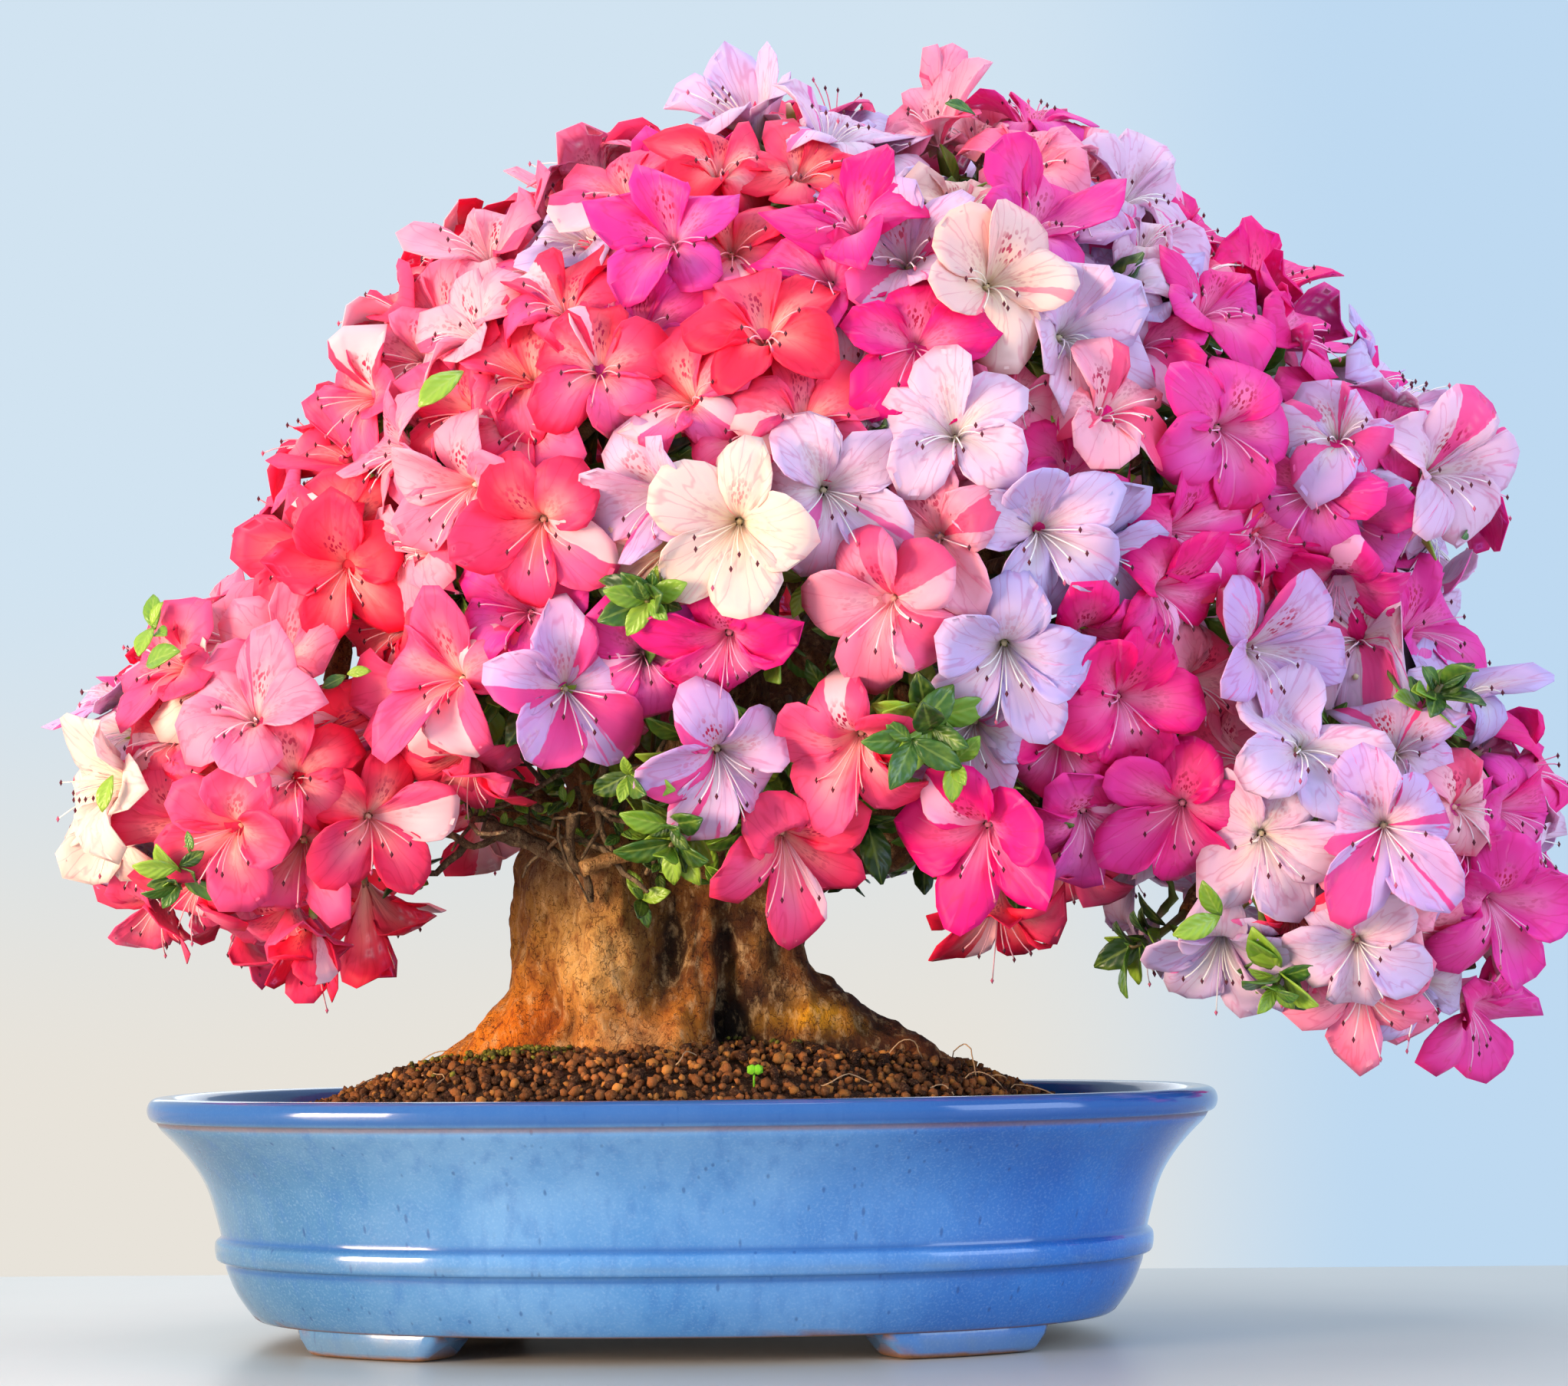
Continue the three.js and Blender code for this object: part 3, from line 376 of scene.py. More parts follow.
def tubes(paths, radii, sides):
    """Round closed tubes along many lines of points at once. At each point the ring lies in the plane
    across the line's direction, which is the difference of the points before and after it."""
    count, steps, _ = paths.shape
    radii = np.broadcast_to(radii, (count, steps))
    along = unit(np.gradient(paths, axis=1))
    upright = np.where(np.abs(along[:, :1, 2:]) < 0.9, [[[0.0, 0, 1]]], [[[1.0, 0, 0]]])
    side = unit(upright - along * np.sum(upright * along, -1, keepdims=True))
    across = np.cross(along, side)
    turn = np.linspace(0, 2 * math.pi, sides, endpoint=False)
    ring = side[:, :, None] * np.cos(turn)[:, None] + across[:, :, None] * np.sin(turn)[:, None]
    rings = paths[:, :, None] + ring * radii[:, :, None, None]
    points = np.concatenate([rings.reshape(count, -1, 3), paths[:, :1], paths[:, -1:]], axis=1)
    each = steps * sides + 2
    j = np.arange(sides)
    after = (j + 1) % sides
    first = stacked(each - 2, after, j)
    last = stacked(each - 1, j + each - 2 - sides, after + each - 2 - sides)
    quads = grid_quads(steps, sides, closed=True)[:, ::-1]
    return Surface(points, copies(quads, each, count), copies(np.concatenate([first, last]), each, count))


def closed_rings(rings, ends, **values):
    """A closed surface of rings of points, one after another, with a fan of faces from a middle point
    over each end."""
    count, columns = rings.shape[:2]
    j = np.arange(columns)
    after = (j + 1) % columns
    last = (count - 1) * columns
    low = stacked(count * columns, after, j)
    high = stacked(count * columns + 1, last + j, last + after)
    quads = grid_quads(count, columns, closed=True)[:, ::-1]
    points = np.concatenate([rings.reshape(-1, 3), ends])
    return Surface(points, quads, np.concatenate([low, high]), **values)


def set_places(mesh, places):
    """Puts a mesh's vertices at places in millimetres."""
    mesh.vertices.foreach_set("co", (places / 1000 + ORIGIN).astype(np.float32).ravel())
    mesh.update()


def set_values(mesh, **values):
    """Gives a mesh attributes of three numbers at its vertices."""
    for name, value in values.items():
        attribute = mesh.attributes.new(name, "FLOAT_VECTOR", "POINT")
        attribute.data.foreach_set("vector", value.astype(np.float32).ravel())


def new_mesh(name, surface):
    """Mesh data of a surface, in the frame's metres, with its values as attributes."""
    mesh = bpy.data.meshes.new(name)
    mesh.vertices.add(len(surface.points))
    set_places(mesh, surface.points)
    corners = np.concatenate([surface.quads.ravel(), surface.triangles.ravel()])
    mesh.loops.add(len(corners))
    mesh.loops.foreach_set("vertex_index", corners.astype(np.int32))
    sizes = np.repeat([4, 3], [len(surface.quads), len(surface.triangles)])
    mesh.polygons.add(len(sizes))
    mesh.polygons.foreach_set("loop_start", (np.cumsum(sizes) - sizes).astype(np.int32))
    mesh.polygons.foreach_set("use_smooth", np.ones(len(sizes), bool))
    mesh.update(calc_edges=True)
    set_values(mesh, **surface.values)
    return mesh


def new_object(name, data):
    """An object of that data in the scene, at its origin."""
    made = bpy.data.objects.new(name, data)
    bpy.context.scene.collection.objects.link(made)
    return made


def show(name, shape, material, slot, *nodes):
    """Puts a surface or mesh data in the scene as a piece that rides on the tree and stands for CAD
    nodes."""
    piece = new_object(name, new_mesh(name, shape) if isinstance(shape, Surface) else shape)
    piece.data.materials.append(material)
    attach(piece, "root")
    if nodes:
        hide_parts(*nodes)


def finished_mesh(name, mesh, *modifiers):
    """Mesh data after modifiers, each given as its type and its settings."""
    carrier = new_object(name, mesh)
    for kind, settings in modifiers:
        modifier = carrier.modifiers.new(kind.lower(), kind)
        for setting, value in settings.items():
            setattr(modifier, setting, value)
    graph = bpy.context.evaluated_depsgraph_get()
    made = bpy.data.meshes.new_from_object(carrier.evaluated_get(graph))
    bpy.data.objects.remove(carrier)
    return made


def mesh_arrays(mesh):
    """The places in millimetres and the normals of a mesh's vertices."""
    places = np.empty(len(mesh.vertices) * 3, np.float32)
    mesh.vertices.foreach_get("co", places)
    normals = np.empty(len(mesh.vertices) * 3, np.float32)
    mesh.vertex_normals.foreach_get("vector", normals)
    return (places.reshape(-1, 3) - ORIGIN) * 1000, normals.reshape(-1, 3).astype(float)


# Materials


def add(tree, kind, inputs=None, **settings):
    """Adds a node. Settings are its own properties. Inputs go by name or number and are values, hex
    colours, sockets to link, or nodes, of which the first output in use is linked."""
    node = tree.nodes.new("ShaderNode" + kind)
    for name, value in settings.items():
        setattr(node, name, value)
    for name, value in (inputs or {}).items():
        if isinstance(value, bpy.types.Node):
            value = next(output for output in value.outputs if output.enabled)
        if isinstance(value, bpy.types.NodeSocket):
            tree.links.new(value, node.inputs[name])
        elif isinstance(value, str):
            node.inputs[name].default_value = (*linear(value), 1)
        else:
            node.inputs[name].default_value = value
    return node


def new_material(name):
    """An empty node material and its tree."""
    material = bpy.data.materials.new(name)
    material.use_nodes = True
    material.node_tree.nodes.clear()
    return material, material.node_tree


# Settings of a Mix node for colours, where 0 is the share and 6 and 7 are the colours, and of a
# MapRange node with soft ends, where 0 is the value, 1 and 2 its range, and 3 and 4 the range it gets
COLOURS = dict(data_type="RGBA")
SOFTLY = dict(interpolation_type="SMOOTHSTEP")


def petal_material():
    """Azalea petal: thin living tissue with a velvety, half matt skin that lets some light through. Fine
    veins branch along it, variegated blooms have bands and flecks of another pink that run from the
    throat to the margin, and the upper petals have crimson dots near the throat."""
    material, tree = new_material("azalea_petal_tissue")
    tint = add(tree, "Attribute", attribute_name="tint")
    accent = add(tree, "Attribute", attribute_name="accent")
    place, marks, band = (
        add(tree, "Attribute", attribute_name=name).outputs["Vector"] for name in ("place", "marks", "band")
    )
    across, along, _ = add(tree, "SeparateXYZ", {0: place}).outputs
    flecked, dotted, _ = add(tree, "SeparateXYZ", {0: marks}).outputs
    centre, half, strength = add(tree, "SeparateXYZ", {0: band}).outputs

    # How often each pattern repeats across half a petal, along it, and from one petal to the next
    repeats = dict(veins=(3.6, 1.3, 1), band=(0.7, 3, 1), flecks=(7, 1.4, 1), dots=(7.5, 13, 1))
    at = {
        name: add(tree, "VectorMath", {0: place, 1: often}, operation="MULTIPLY")
        for name, often in repeats.items()
    }

    # Veins: the places where a noise drawn out along the petal crosses its mean, about 3 mm apart
    folds = add(tree, "TexNoise", {"Vector": at["veins"], "Scale": 1.0, "Detail": 1.0})
    from_mean = add(tree, "Math", {0: folds, 1: 0.5}, operation="SUBTRACT")
    distance = add(tree, "Math", {0: from_mean}, operation="ABSOLUTE")
    vein = add(tree, "MapRange", {0: distance, 1: 0.035, 2: 0.0, 4: 0.4}, **SOFTLY)
    veined = add(tree, "Mix", {0: vein, 6: tint, 7: "#E58FB0"}, blend_type="MULTIPLY", **COLOURS)

    # A band from the throat to the margin, with an edge that wanders a little
    wander = add(tree, "TexNoise", {"Vector": at["band"], "Scale": 1.0, "Detail": 2.0})
    moved = add(tree, "Math", {0: wander, 1: 0.16, 2: across}, operation="MULTIPLY_ADD")
    from_centre = add(tree, "Math", {0: moved, 1: centre}, operation="SUBTRACT")
    beside = add(tree, "Math", {0: from_centre}, operation="ABSOLUTE")
    outside = add(tree, "Math", {0: beside, 1: half}, operation="SUBTRACT")
    in_band = add(tree, "MapRange", {0: outside, 1: 0.012, 2: -0.012}, **SOFTLY)
    banded = add(tree, "Math", {0: in_band, 1: strength}, operation="MULTIPLY")

    # Flecks about 1 mm wide and several times as long
    streaks = add(tree, "TexNoise", {"Vector": at["flecks"], "Scale": 1.0, "Detail": 3.0})
    fleck = add(tree, "MapRange", {0: streaks, 1: 0.63, 2: 0.67}, **SOFTLY)
    fleck_here = add(tree, "Math", {0: fleck, 1: flecked}, operation="MULTIPLY")
    marked = add(tree, "Math", {0: banded, 1: fleck_here}, operation="MAXIMUM")
    accented = add(tree, "Mix", {0: marked, 6: veined, 7: accent}, **COLOURS)

    # Dots about 1 mm across, in cells 1.6 mm wide and 2.4 mm long, gathered in a wedge on the petal
    cells = add(tree, "TexVoronoi", {"Vector": at["dots"], "Scale": 1.0})
    sidewards = add(tree, "Math", {0: across}, operation="ABSOLUTE")
    blotch = dotted
    for value, none, full in (
        (cells, 0.5, 0.34), (along, 0.2, 0.3), (along, 0.68, 0.45), (sidewards, 0.6, 0.25),
    ):
        mask = add(tree, "MapRange", {0: value, 1: none, 2: full}, **SOFTLY)
        blotch = add(tree, "Math", {0: blotch, 1: mask}, operation="MULTIPLY")
    coloured = add(tree, "Mix", {0: blotch, 6: accented, 7: "#C0104C"}, **COLOURS)
    bump = add(tree, "Bump", {"Height": folds, "Strength": 0.5, "Distance": 0.0013})
    shader = add(tree, "BsdfPrincipled", {
        "Base Color": coloured, "Roughness": 0.55, "Specular IOR Level": 0.3, "Normal": bump,
        "Subsurface Weight": 0.18, "Subsurface Radius": (1.0, 0.5, 0.6), "Subsurface Scale": 0.003,
    })
    add(tree, "OutputMaterial", {"Surface": shader})
    return material


def leaf_material():
    """Azalea leaf: a leathery evergreen blade with a waxy skin that glints, a pale midrib and side
    veins, and patches of lighter green about 5 mm across."""
    material, tree = new_material("azalea_leaf_blade")
    tint = add(tree, "Attribute", attribute_name="tint")
    place = add(tree, "Attribute", attribute_name="place").outputs["Vector"]
    across, along, seed = add(tree, "SeparateXYZ", {0: place}).outputs
    where = add(tree, "TexCoord").outputs["Object"]
    patches = add(tree, "TexNoise", {"Vector": where, "Scale": 210.0, "Detail": 3.0})
    lighter = add(tree, "MapRange", {0: patches, 1: 0.45, 2: 0.75, 4: 0.45})
    mottled = add(tree, "Mix", {0: lighter, 6: tint, 7: "#8FA83A"}, **COLOURS)
    sidewards = add(tree, "Math", {0: across}, operation="ABSOLUTE")
    midrib = add(tree, "MapRange", {0: sidewards, 1: 0.16, 2: 0.03, 4: 0.4}, **SOFTLY)
    ribbed = add(tree, "Mix", {0: midrib, 6: mottled, 7: "#A9BF5A"}, **COLOURS)
    # Side veins leave the midrib forwards, five to a side
    slant = add(tree, "Math", {0: sidewards, 1: -0.35, 2: along}, operation="MULTIPLY_ADD")
    vein_at = add(tree, "CombineXYZ", {0: slant, 2: seed})
    veins = add(tree, "TexWave", {"Vector": vein_at, "Scale": 1.6}, bands_direction="X").outputs["Fac"]
    bump = add(tree, "Bump", {"Height": veins, "Strength": 0.3, "Distance": 0.0005})
    shader = add(tree, "BsdfPrincipled", {
        "Base Color": ribbed, "Roughness": 0.36, "Specular IOR Level": 0.5, "Normal": bump,
    })
    add(tree, "OutputMaterial", {"Surface": shader})
    return material


def bark_material():
    """Old azalea bark: thin, flaking and matt, tan and orange where it is worn and grey brown above.
    Folds 4 mm wide lean up the trunk, blots of 10 mm and thin irregular cracks cross flakes of 5 to
    8 mm, and a grain of 1 mm with dark pits covers them. Painted shade darkens the pits, the low places
    of the folds and blots and the cracks, and a painted highlight lightens the tops of the folds."""
    material, tree = new_material("azalea_bark")
    tint = add(tree, "Attribute", attribute_name="tint")
    where = add(tree, "TexCoord").outputs["Object"]
    upward = add(tree, "Mapping", {"Vector": where, "Scale": (1.0, 1.0, 0.5)})
    drawn = add(tree, "Mapping", {"Vector": where, "Scale": (1.0, 1.0, 0.8)})
    ridges, blots, grain, flakes = (
        add(tree, "TexNoise", {"Vector": vector, "Scale": scale, "Detail": detail, "Roughness": rough})
        for vector, scale, detail, rough in (
            (upward, 240.0, 5.0, 0.65), (where, 95.0, 6.0, 0.7), (drawn, 820.0, 5.0, 0.75),
            (drawn, 150.0, 3.0, 0.6),
        )
    )
    from_mean = add(tree, "Math", {0: flakes, 1: 0.5}, operation="SUBTRACT")
    beside_crack = add(tree, "Math", {0: from_mean}, operation="ABSOLUTE")
    # Painted highlight: lighter where the ridges stand highest, on the tops of the folds
    crest = add(tree, "MapRange", {0: ridges, 1: 0.52, 2: 0.7, 4: 0.5})
    colour = add(tree, "Mix", {0: crest, 6: tint, 7: "#FFD49A"}, **COLOURS)
    # Painted shade: darker where the ridges, the blots and the grain lie low, and last in the cracks
    for value, none, full, share, dark in (
        (ridges, 0.47, 0.32, 0.75, "#A86E42"), (blots, 0.46, 0.3, 0.7, "#A0704A"),
        (grain, 0.47, 0.32, 0.75, "#8A5634"), (beside_crack, 0.014, 0.0, 0.75, "#6A4026"),
    ):
        darker = add(tree, "MapRange", {0: value, 1: none, 2: full, 4: share})
        colour = add(tree, "Mix", {0: darker, 6: colour, 7: dark}, blend_type="MULTIPLY", **COLOURS)
    height = add(tree, "Math", {0: ridges, 1: 0.8, 2: blots}, operation="MULTIPLY_ADD")
    for value, share in ((grain, 0.5), (darker, -0.25)):
        height = add(tree, "Math", {0: value, 1: share, 2: height}, operation="MULTIPLY_ADD")
    rough = add(tree, "MapRange", {0: grain, 1: 0.3, 2: 0.7, 3: 0.6, 4: 0.95})
    bump = add(tree, "Bump", {"Height": height, "Strength": 0.9, "Distance": 0.003})
    shader = add(tree, "BsdfPrincipled", {
        "Base Color": colour, "Roughness": rough, "Specular IOR Level": 0.35, "Normal": bump,
    })
    add(tree, "OutputMaterial", {"Surface": shader})
    return material


def soil_material():
    """Akadama: granules of baked clay, dusty and matt, with dust in specks of 0.7 mm."""
    material, tree = new_material("akadama_granules")
    tint = add(tree, "Attribute", attribute_name="tint")
    where = add(tree, "TexCoord").outputs["Object"]
    dust = add(tree, "TexNoise", {"Vector": where, "Scale": 1400.0, "Detail": 3.0})
    pale = add(tree, "MapRange", {0: dust, 1: 0.5, 2: 0.75, 4: 0.35})
    dusty = add(tree, "Mix", {0: pale, 6: tint, 7: "#B98A62"}, **COLOURS)
    bump = add(tree, "Bump", {"Height": dust, "Strength": 0.5, "Distance": 0.0006})
    shader = add(tree, "BsdfPrincipled", {
        "Base Color": dusty, "Roughness": 0.92, "Specular IOR Level": 0.25, "Normal": bump,
    })
    add(tree, "OutputMaterial", {"Surface": shader})
    return material


def glaze_material():
    """Blue stoneware glaze: glassy with ripples of 22 mm, in clouds about 60 mm across, a deeper blue where
    it pooled, thin and greyer on ridges, speckled with iron, and wiped off the soles, where the fired clay
    shows in a grain of 1.4 mm. Painted light and shade lie across it: greyer and paler towards the left
    end, a deeper blue towards the right end, and the clay's brown as a line of shade under the lip."""
    material, tree = new_material("stoneware_glaze")
    zones = add(tree, "Attribute", attribute_name="zones").outputs["Vector"]
    thin, bare_clay_and_shade, deep = add(tree, "SeparateXYZ", {0: zones}).outputs
    where = add(tree, "TexCoord").outputs["Object"]
    clouds = add(tree, "TexNoise", {"Vector": where, "Scale": 16.0, "Detail": 5.0, "Roughness": 0.55})
    cloud = add(tree, "MapRange", {0: clouds, 1: 0.36, 2: 0.68})
    # Painted light and shade: greyer, paler blues for the lit left end and deeper blues for the shaded right
    # end
    left, middle, right = (
        add(tree, "Mix", {0: cloud, 6: darker, 7: lighter}, **COLOURS)
        for darker, lighter in (("#3A6890", "#5A84A8"), ("#4E8AC8", "#76A8DA"), ("#0C58B2", "#2274C6"))
    )
    rightwards = add(tree, "SeparateXYZ", {0: where}).outputs[0]
    lit_left_end = add(tree, "MapRange", {0: rightwards, 1: -0.24, 2: -0.08}, **SOFTLY)
    shaded_right_end = add(tree, "MapRange", {0: rightwards, 1: -0.06, 2: 0.12}, **SOFTLY)
    colour = add(tree, "Mix", {0: lit_left_end, 6: left, 7: middle}, **COLOURS)
    colour = add(tree, "Mix", {0: shaded_right_end, 6: colour, 7: right}, **COLOURS)
    # Darker runs 5 mm wide and drawn out downwards, and a pale mist in dots of 1 mm
    drips = add(tree, "Mapping", {"Vector": where, "Scale": (1.0, 1.0, 0.22)})
    for vector, scale, detail, full, share, over in (
        (drips, 190.0, 3.0, 0.72, 0.35, "#2F66B0"), (where, 1100.0, 2.0, 0.8, 0.22, "#A4C8E6"),
    ):
        noise = add(tree, "TexNoise", {"Vector": vector, "Scale": scale, "Detail": detail})
        layer = add(tree, "MapRange", {0: noise, 1: 0.5, 2: full, 4: share})
        colour = add(tree, "Mix", {0: layer, 6: colour, 7: over}, **COLOURS)
    # About one cell in eight holds a speck of iron, 0.6 mm wide and several times as long
    specks = add(tree, "TexVoronoi", {"Vector": drips, "Scale": 380.0})
    chosen = add(tree, "SeparateXYZ", {0: specks.outputs["Color"]}).outputs[0]
    rare = add(tree, "MapRange", {0: chosen, 1: 0.86, 2: 0.9})
    speck = add(tree, "MapRange", {0: specks, 1: 0.3, 2: 0.14, 4: 0.5})
    speck_here = add(tree, "Math", {0: rare, 1: speck}, operation="MULTIPLY")
    clay_grain = add(tree, "TexNoise", {"Vector": where, "Scale": 700.0, "Detail": 4.0})
    clay = add(tree, "Mix", {0: clay_grain, 6: "#5E3A20", 7: "#A87040"}, **COLOURS)
    for share, over in ((speck_here, "#1E3A78"), (deep, "#1E549C"), (thin, "#687C8E"), (bare_clay_and_shade, clay)):
        colour = add(tree, "Mix", {0: share, 6: colour, 7: over}, **COLOURS)
    rough = add(tree, "MapRange", {0: bare_clay_and_shade, 3: 0.13, 4: 0.8})
    ripple = add(tree, "TexNoise", {"Vector": where, "Scale": 45.0, "Detail": 2.0})
    bump = add(tree, "Bump", {"Height": ripple, "Strength": 0.12, "Distance": 0.002})
    shader = add(tree, "BsdfPrincipled", {
        "Base Color": colour, "Roughness": rough, "IOR": 1.5, "Normal": bump,
        "Coat Weight": 0.25, "Coat Roughness": 0.05,
    })
    add(tree, "OutputMaterial", {"Surface": shader})
    return material


def plain_material(name, colour, rough, metal, grain, mixed, bump_strength):
    """A hard material with a fine grain: two close colours mixed by noise of the grain's size in
    millimetres, and a slight bump."""
    material, tree = new_material(name)
    where = add(tree, "TexCoord").outputs["Object"]
    noise = add(tree, "TexNoise", {"Vector": where, "Scale": 1000.0 / grain, "Detail": 3.0})
    colours = add(tree, "Mix", {0: noise, 6: colour, 7: mixed}, **COLOURS)
    bump = add(tree, "Bump", {"Height": noise, "Strength": bump_strength, "Distance": 0.0003})
    shader = add(tree, "BsdfPrincipled", {
        "Base Color": colours, "Roughness": rough, "Metallic": metal, "Normal": bump,
    })
    add(tree, "OutputMaterial", {"Surface": shader})
    return material


# Where the blooms and leaves grow

EYE_ROUND = math.radians(VIEW["round"])
EYE = np.array([
    VIEW["distance"] * math.sin(EYE_ROUND), -VIEW["distance"] * math.cos(EYE_ROUND), VIEW["eye_height"],
])


def view_axes():
    """The reference camera's own directions, right, up and forward: forward along its heading and
    pitch, the others turned by its roll."""
    heading, pitch, roll = (math.radians(VIEW[name]) for name in ("heading", "pitch", "roll"))
    level = np.array([math.sin(heading), math.cos(heading), 0])
    flat = np.array([math.cos(heading), -math.sin(heading), 0])
    rise = np.array([0, 0, 1.0])
    forward = level * math.cos(pitch) + rise * math.sin(pitch)
    steep = rise * math.cos(pitch) - level * math.sin(pitch)
    right = flat * math.cos(roll) - steep * math.sin(roll)
    upward = flat * math.sin(roll) + steep * math.cos(roll)
    return right, upward, forward


RIGHT, UPWARD, FORWARD = view_axes()


def view_ray(px, py):
    """Direction from the eye through a pixel of the reference view."""
    across = (px - VIEW["width"] / 2) / VIEW["focal"]
    above = (VIEW["height"] / 2 - py) / VIEW["focal"]
    return unit(FORWARD + RIGHT * across + UPWARD * above)


def seen_at_depth(px, py, depth):
    """The place under a pixel of the reference view whose y is that depth."""
    along = view_ray(px, py)
    return EYE + along * (depth - EYE[1]) / along[1]


def in_window(place):
    """Whether the reference view shows a place in the window over the trunk's shoulder."""
    offset = place - EYE
    scale = VIEW["focal"] / (offset @ FORWARD)
    px = VIEW["width"] / 2 + offset @ RIGHT * scale
    py = VIEW["height"] / 2 - offset @ UPWARD * scale
    across = WINDOW["left"] < px < WINDOW["right"]
    return across and WINDOW["top"] < py < WINDOW["bottom"] and place[1] < WINDOW["behind"]


def pad_crossing(pad, start, along):
    """Whether a ray meets a pad, by how much it misses, and where it enters and leaves: the roots of
    the quadratic in the space where the pad is a ball of radius 1."""
    centre, half = pad
    begin = (start - centre) / half
    step = along / half
    a = step @ step
    b = begin @ step
    left = b * b - a * (begin @ begin - 1)
    root = math.sqrt(max(0, left))
    return left >= 0, -left / a, (-b - root) / a, (-b + root) / a


def pad_normal(pad, place):
    """The pad's outward direction at a place: its offset over its squared half sizes."""
    centre, half = pad
    return unit((place - centre) / half**2)


def canopy_seen(px, py):
    """The first place on the canopy that a pixel's ray meets, or its closest, with the canopy's normal."""
    along = view_ray(px, py)
    best = None
    for pad in PADS:
        hit, miss, enter, _ = pad_crossing(pad, EYE, along)
        rank = enter if hit else 1e5 * (1 + miss)
        if best is None or rank < best[0]:
            best = (rank, pad, enter)
    place = EYE + along * best[2]
    return place, pad_normal(best[1], place)


def canopy_towards(along):
    """The outermost place on the canopy in a direction from its middle, with the canopy's normal."""
    best = None
    for pad in PADS:
        hit, _, _, leave = pad_crossing(pad, CANOPY, along)
        if hit and leave > 0 and (best is None or leave > best[1]):
            best = (pad, leave)
    place = CANOPY + along * best[1]
    return place, pad_normal(best[0], place)


def surface_places(tries, lowest):
    """Places all over the canopy but its underside, turned by the golden angle from one to the next."""
    found = []
    for i in range(tries):
        rise = 1 - 2 * (i + 0.5) / tries
        if rise < lowest:
            break
        turn = i * math.pi * (3 - math.sqrt(5))
        flat = math.sqrt(1 - rise * rise)
        found.append(canopy_towards(np.array([math.cos(turn) * flat, math.sin(turn) * flat, rise])))
    return found


def bloom_frame(out, tilt):
    """A bloom's own directions: out along its throat, lift towards its uppermost petal, and side."""
    lift = np.array([0, 0, 1.0]) - out * out[2]
    if np.linalg.norm(lift) < 0.05:
        lift = np.array([0, 1.0, 0])
    lift = unit(lift)
    lift = lift * math.cos(tilt) + np.cross(out, lift) * math.sin(tilt)
    return dict(out=out, tilt=tilt, lift=lift, side=np.cross(lift, out))


def read_rows(text):
    """Rows of numbers and letters from a list with commas between its rows."""
    return [[float(word) if word.isdigit() else word for word in row.split()] for row in text.split(",")]


def front_blooms(rows, seed):
    """Blooms of the front: each on the canopy under its pixel, its throat turned towards the eye the
    more the larger it shows, its radius and its height above the canopy by its size."""
    random = repeatable_draws(seed)
    found = []
    for px, py, size, colour in read_rows(rows):
        place, normal = canopy_seen(px, py)
        share = size / FULL_FACE
        out = unit(normal + unit(EYE - place) * TO_EYE * share)
        place = place + normal * FRONT_RISE * (share - 0.75)
        radius = BLOOM_RADIUS * (0.8 + 0.2 * share)
        tilt = (next(random) - 0.5) * 1.1
        found.append(dict(place=place, colour=colour, radius=radius, rank=share, **bloom_frame(out, tilt)))
    return found


def bud_blooms():
    """Buds about to open: narrow funnels along the canopy's normal."""
    found = []
    for px, py, size, colour in read_rows(BUDS):
        place, normal = canopy_seen(px, py)
        found.append(dict(
            place=place + normal * 4, colour=colour, radius=BLOOM_RADIUS * size / BUD_FACE,
            rank=0.45, bud=True, **bloom_frame(normal, 0.3),
        ))
    return found


def colour_at(place, draw):
    """The colours follow the branches: coral to the left, magenta and white to the right."""
    rightwards = (place[0] + 60) / 300 + (draw - 0.5) * 0.9
    if rightwards < 0.25:
        return "C"
    if rightwards < 0.45:
        return "P"
    return "M" if draw < 0.45 else "W"


def warm_lit_colour(bloom, draw):
    """Some white blooms on the left half of the tree turn cream, as painted warm light from the left."""
    return "Y" if bloom["colour"] == "W" and bloom["place"][0] < 60 and draw < 0.4 else bloom["colour"]


def further_blooms(taken, places, apart, seed, sunk):
    """Blooms at those places that keep a distance from the ones already taken, sunk into the canopy."""
    random = repeatable_draws(seed)
    found = []
    for place, normal in places:
        draws = [next(random) for _ in range(3)]
        near = np.array([b["place"] for b in taken + found])
        if np.min(np.linalg.norm(near - place, axis=1)) < apart or in_window(place):
            continue
        found.append(dict(
            place=place - normal * sunk, colour=colour_at(place, draws[0]),
            radius=BLOOM_RADIUS * (0.9 + 0.12 * draws[1]), rank=0.6 - sunk / 50 + 0.05 * draws[1],
            **bloom_frame(normal, (draws[2] - 0.5) * 1.4),
        ))
    return found


def leaf_centres():
    """Where the leafy sprays stand, and the way they point."""
    found = [canopy_seen(px, py) for px, py in read_rows(FRONT_LEAVES)]
    found += [canopy_towards(unit(np.array(along))) for along in BACK_LEAVES]
    return [dict(place=place + normal * 2, out=normal, end=place - normal * 20) for place, normal in found]


def branch_tips(sprays, places):
    """Tips of the branches that carry the bunches, which keep their distance from each other and from
    the leafy sprays."""
    tips = []
    for place, normal in places:
        if any(np.linalg.norm(tip["surface"] - place) < TIPS_APART for tip in tips):
            continue
        if any(np.linalg.norm(spray["place"] - place) < SPRAY_CLEAR for spray in sprays):
            continue
        inside = place - normal * TIP_DEPTH
        tips.append(dict(surface=place, place=inside, end=inside, blooms=[]))
    return tips


def give_to_tips(blooms, tips):
    """Gives each bloom to the nearest tip, turned a little away from the bunch's middle."""
    middles = np.array([tip["place"] for tip in tips])
    for bloom in blooms:
        away = bloom["place"] - middles
        nearest = int(np.argmin(np.linalg.norm(away, axis=1)))
        out = unit(bloom["out"] + unit(away[nearest]) * BUNCH_SPREAD)
        tips[nearest]["blooms"].append({**bloom, **bloom_frame(out, bloom["tilt"])})


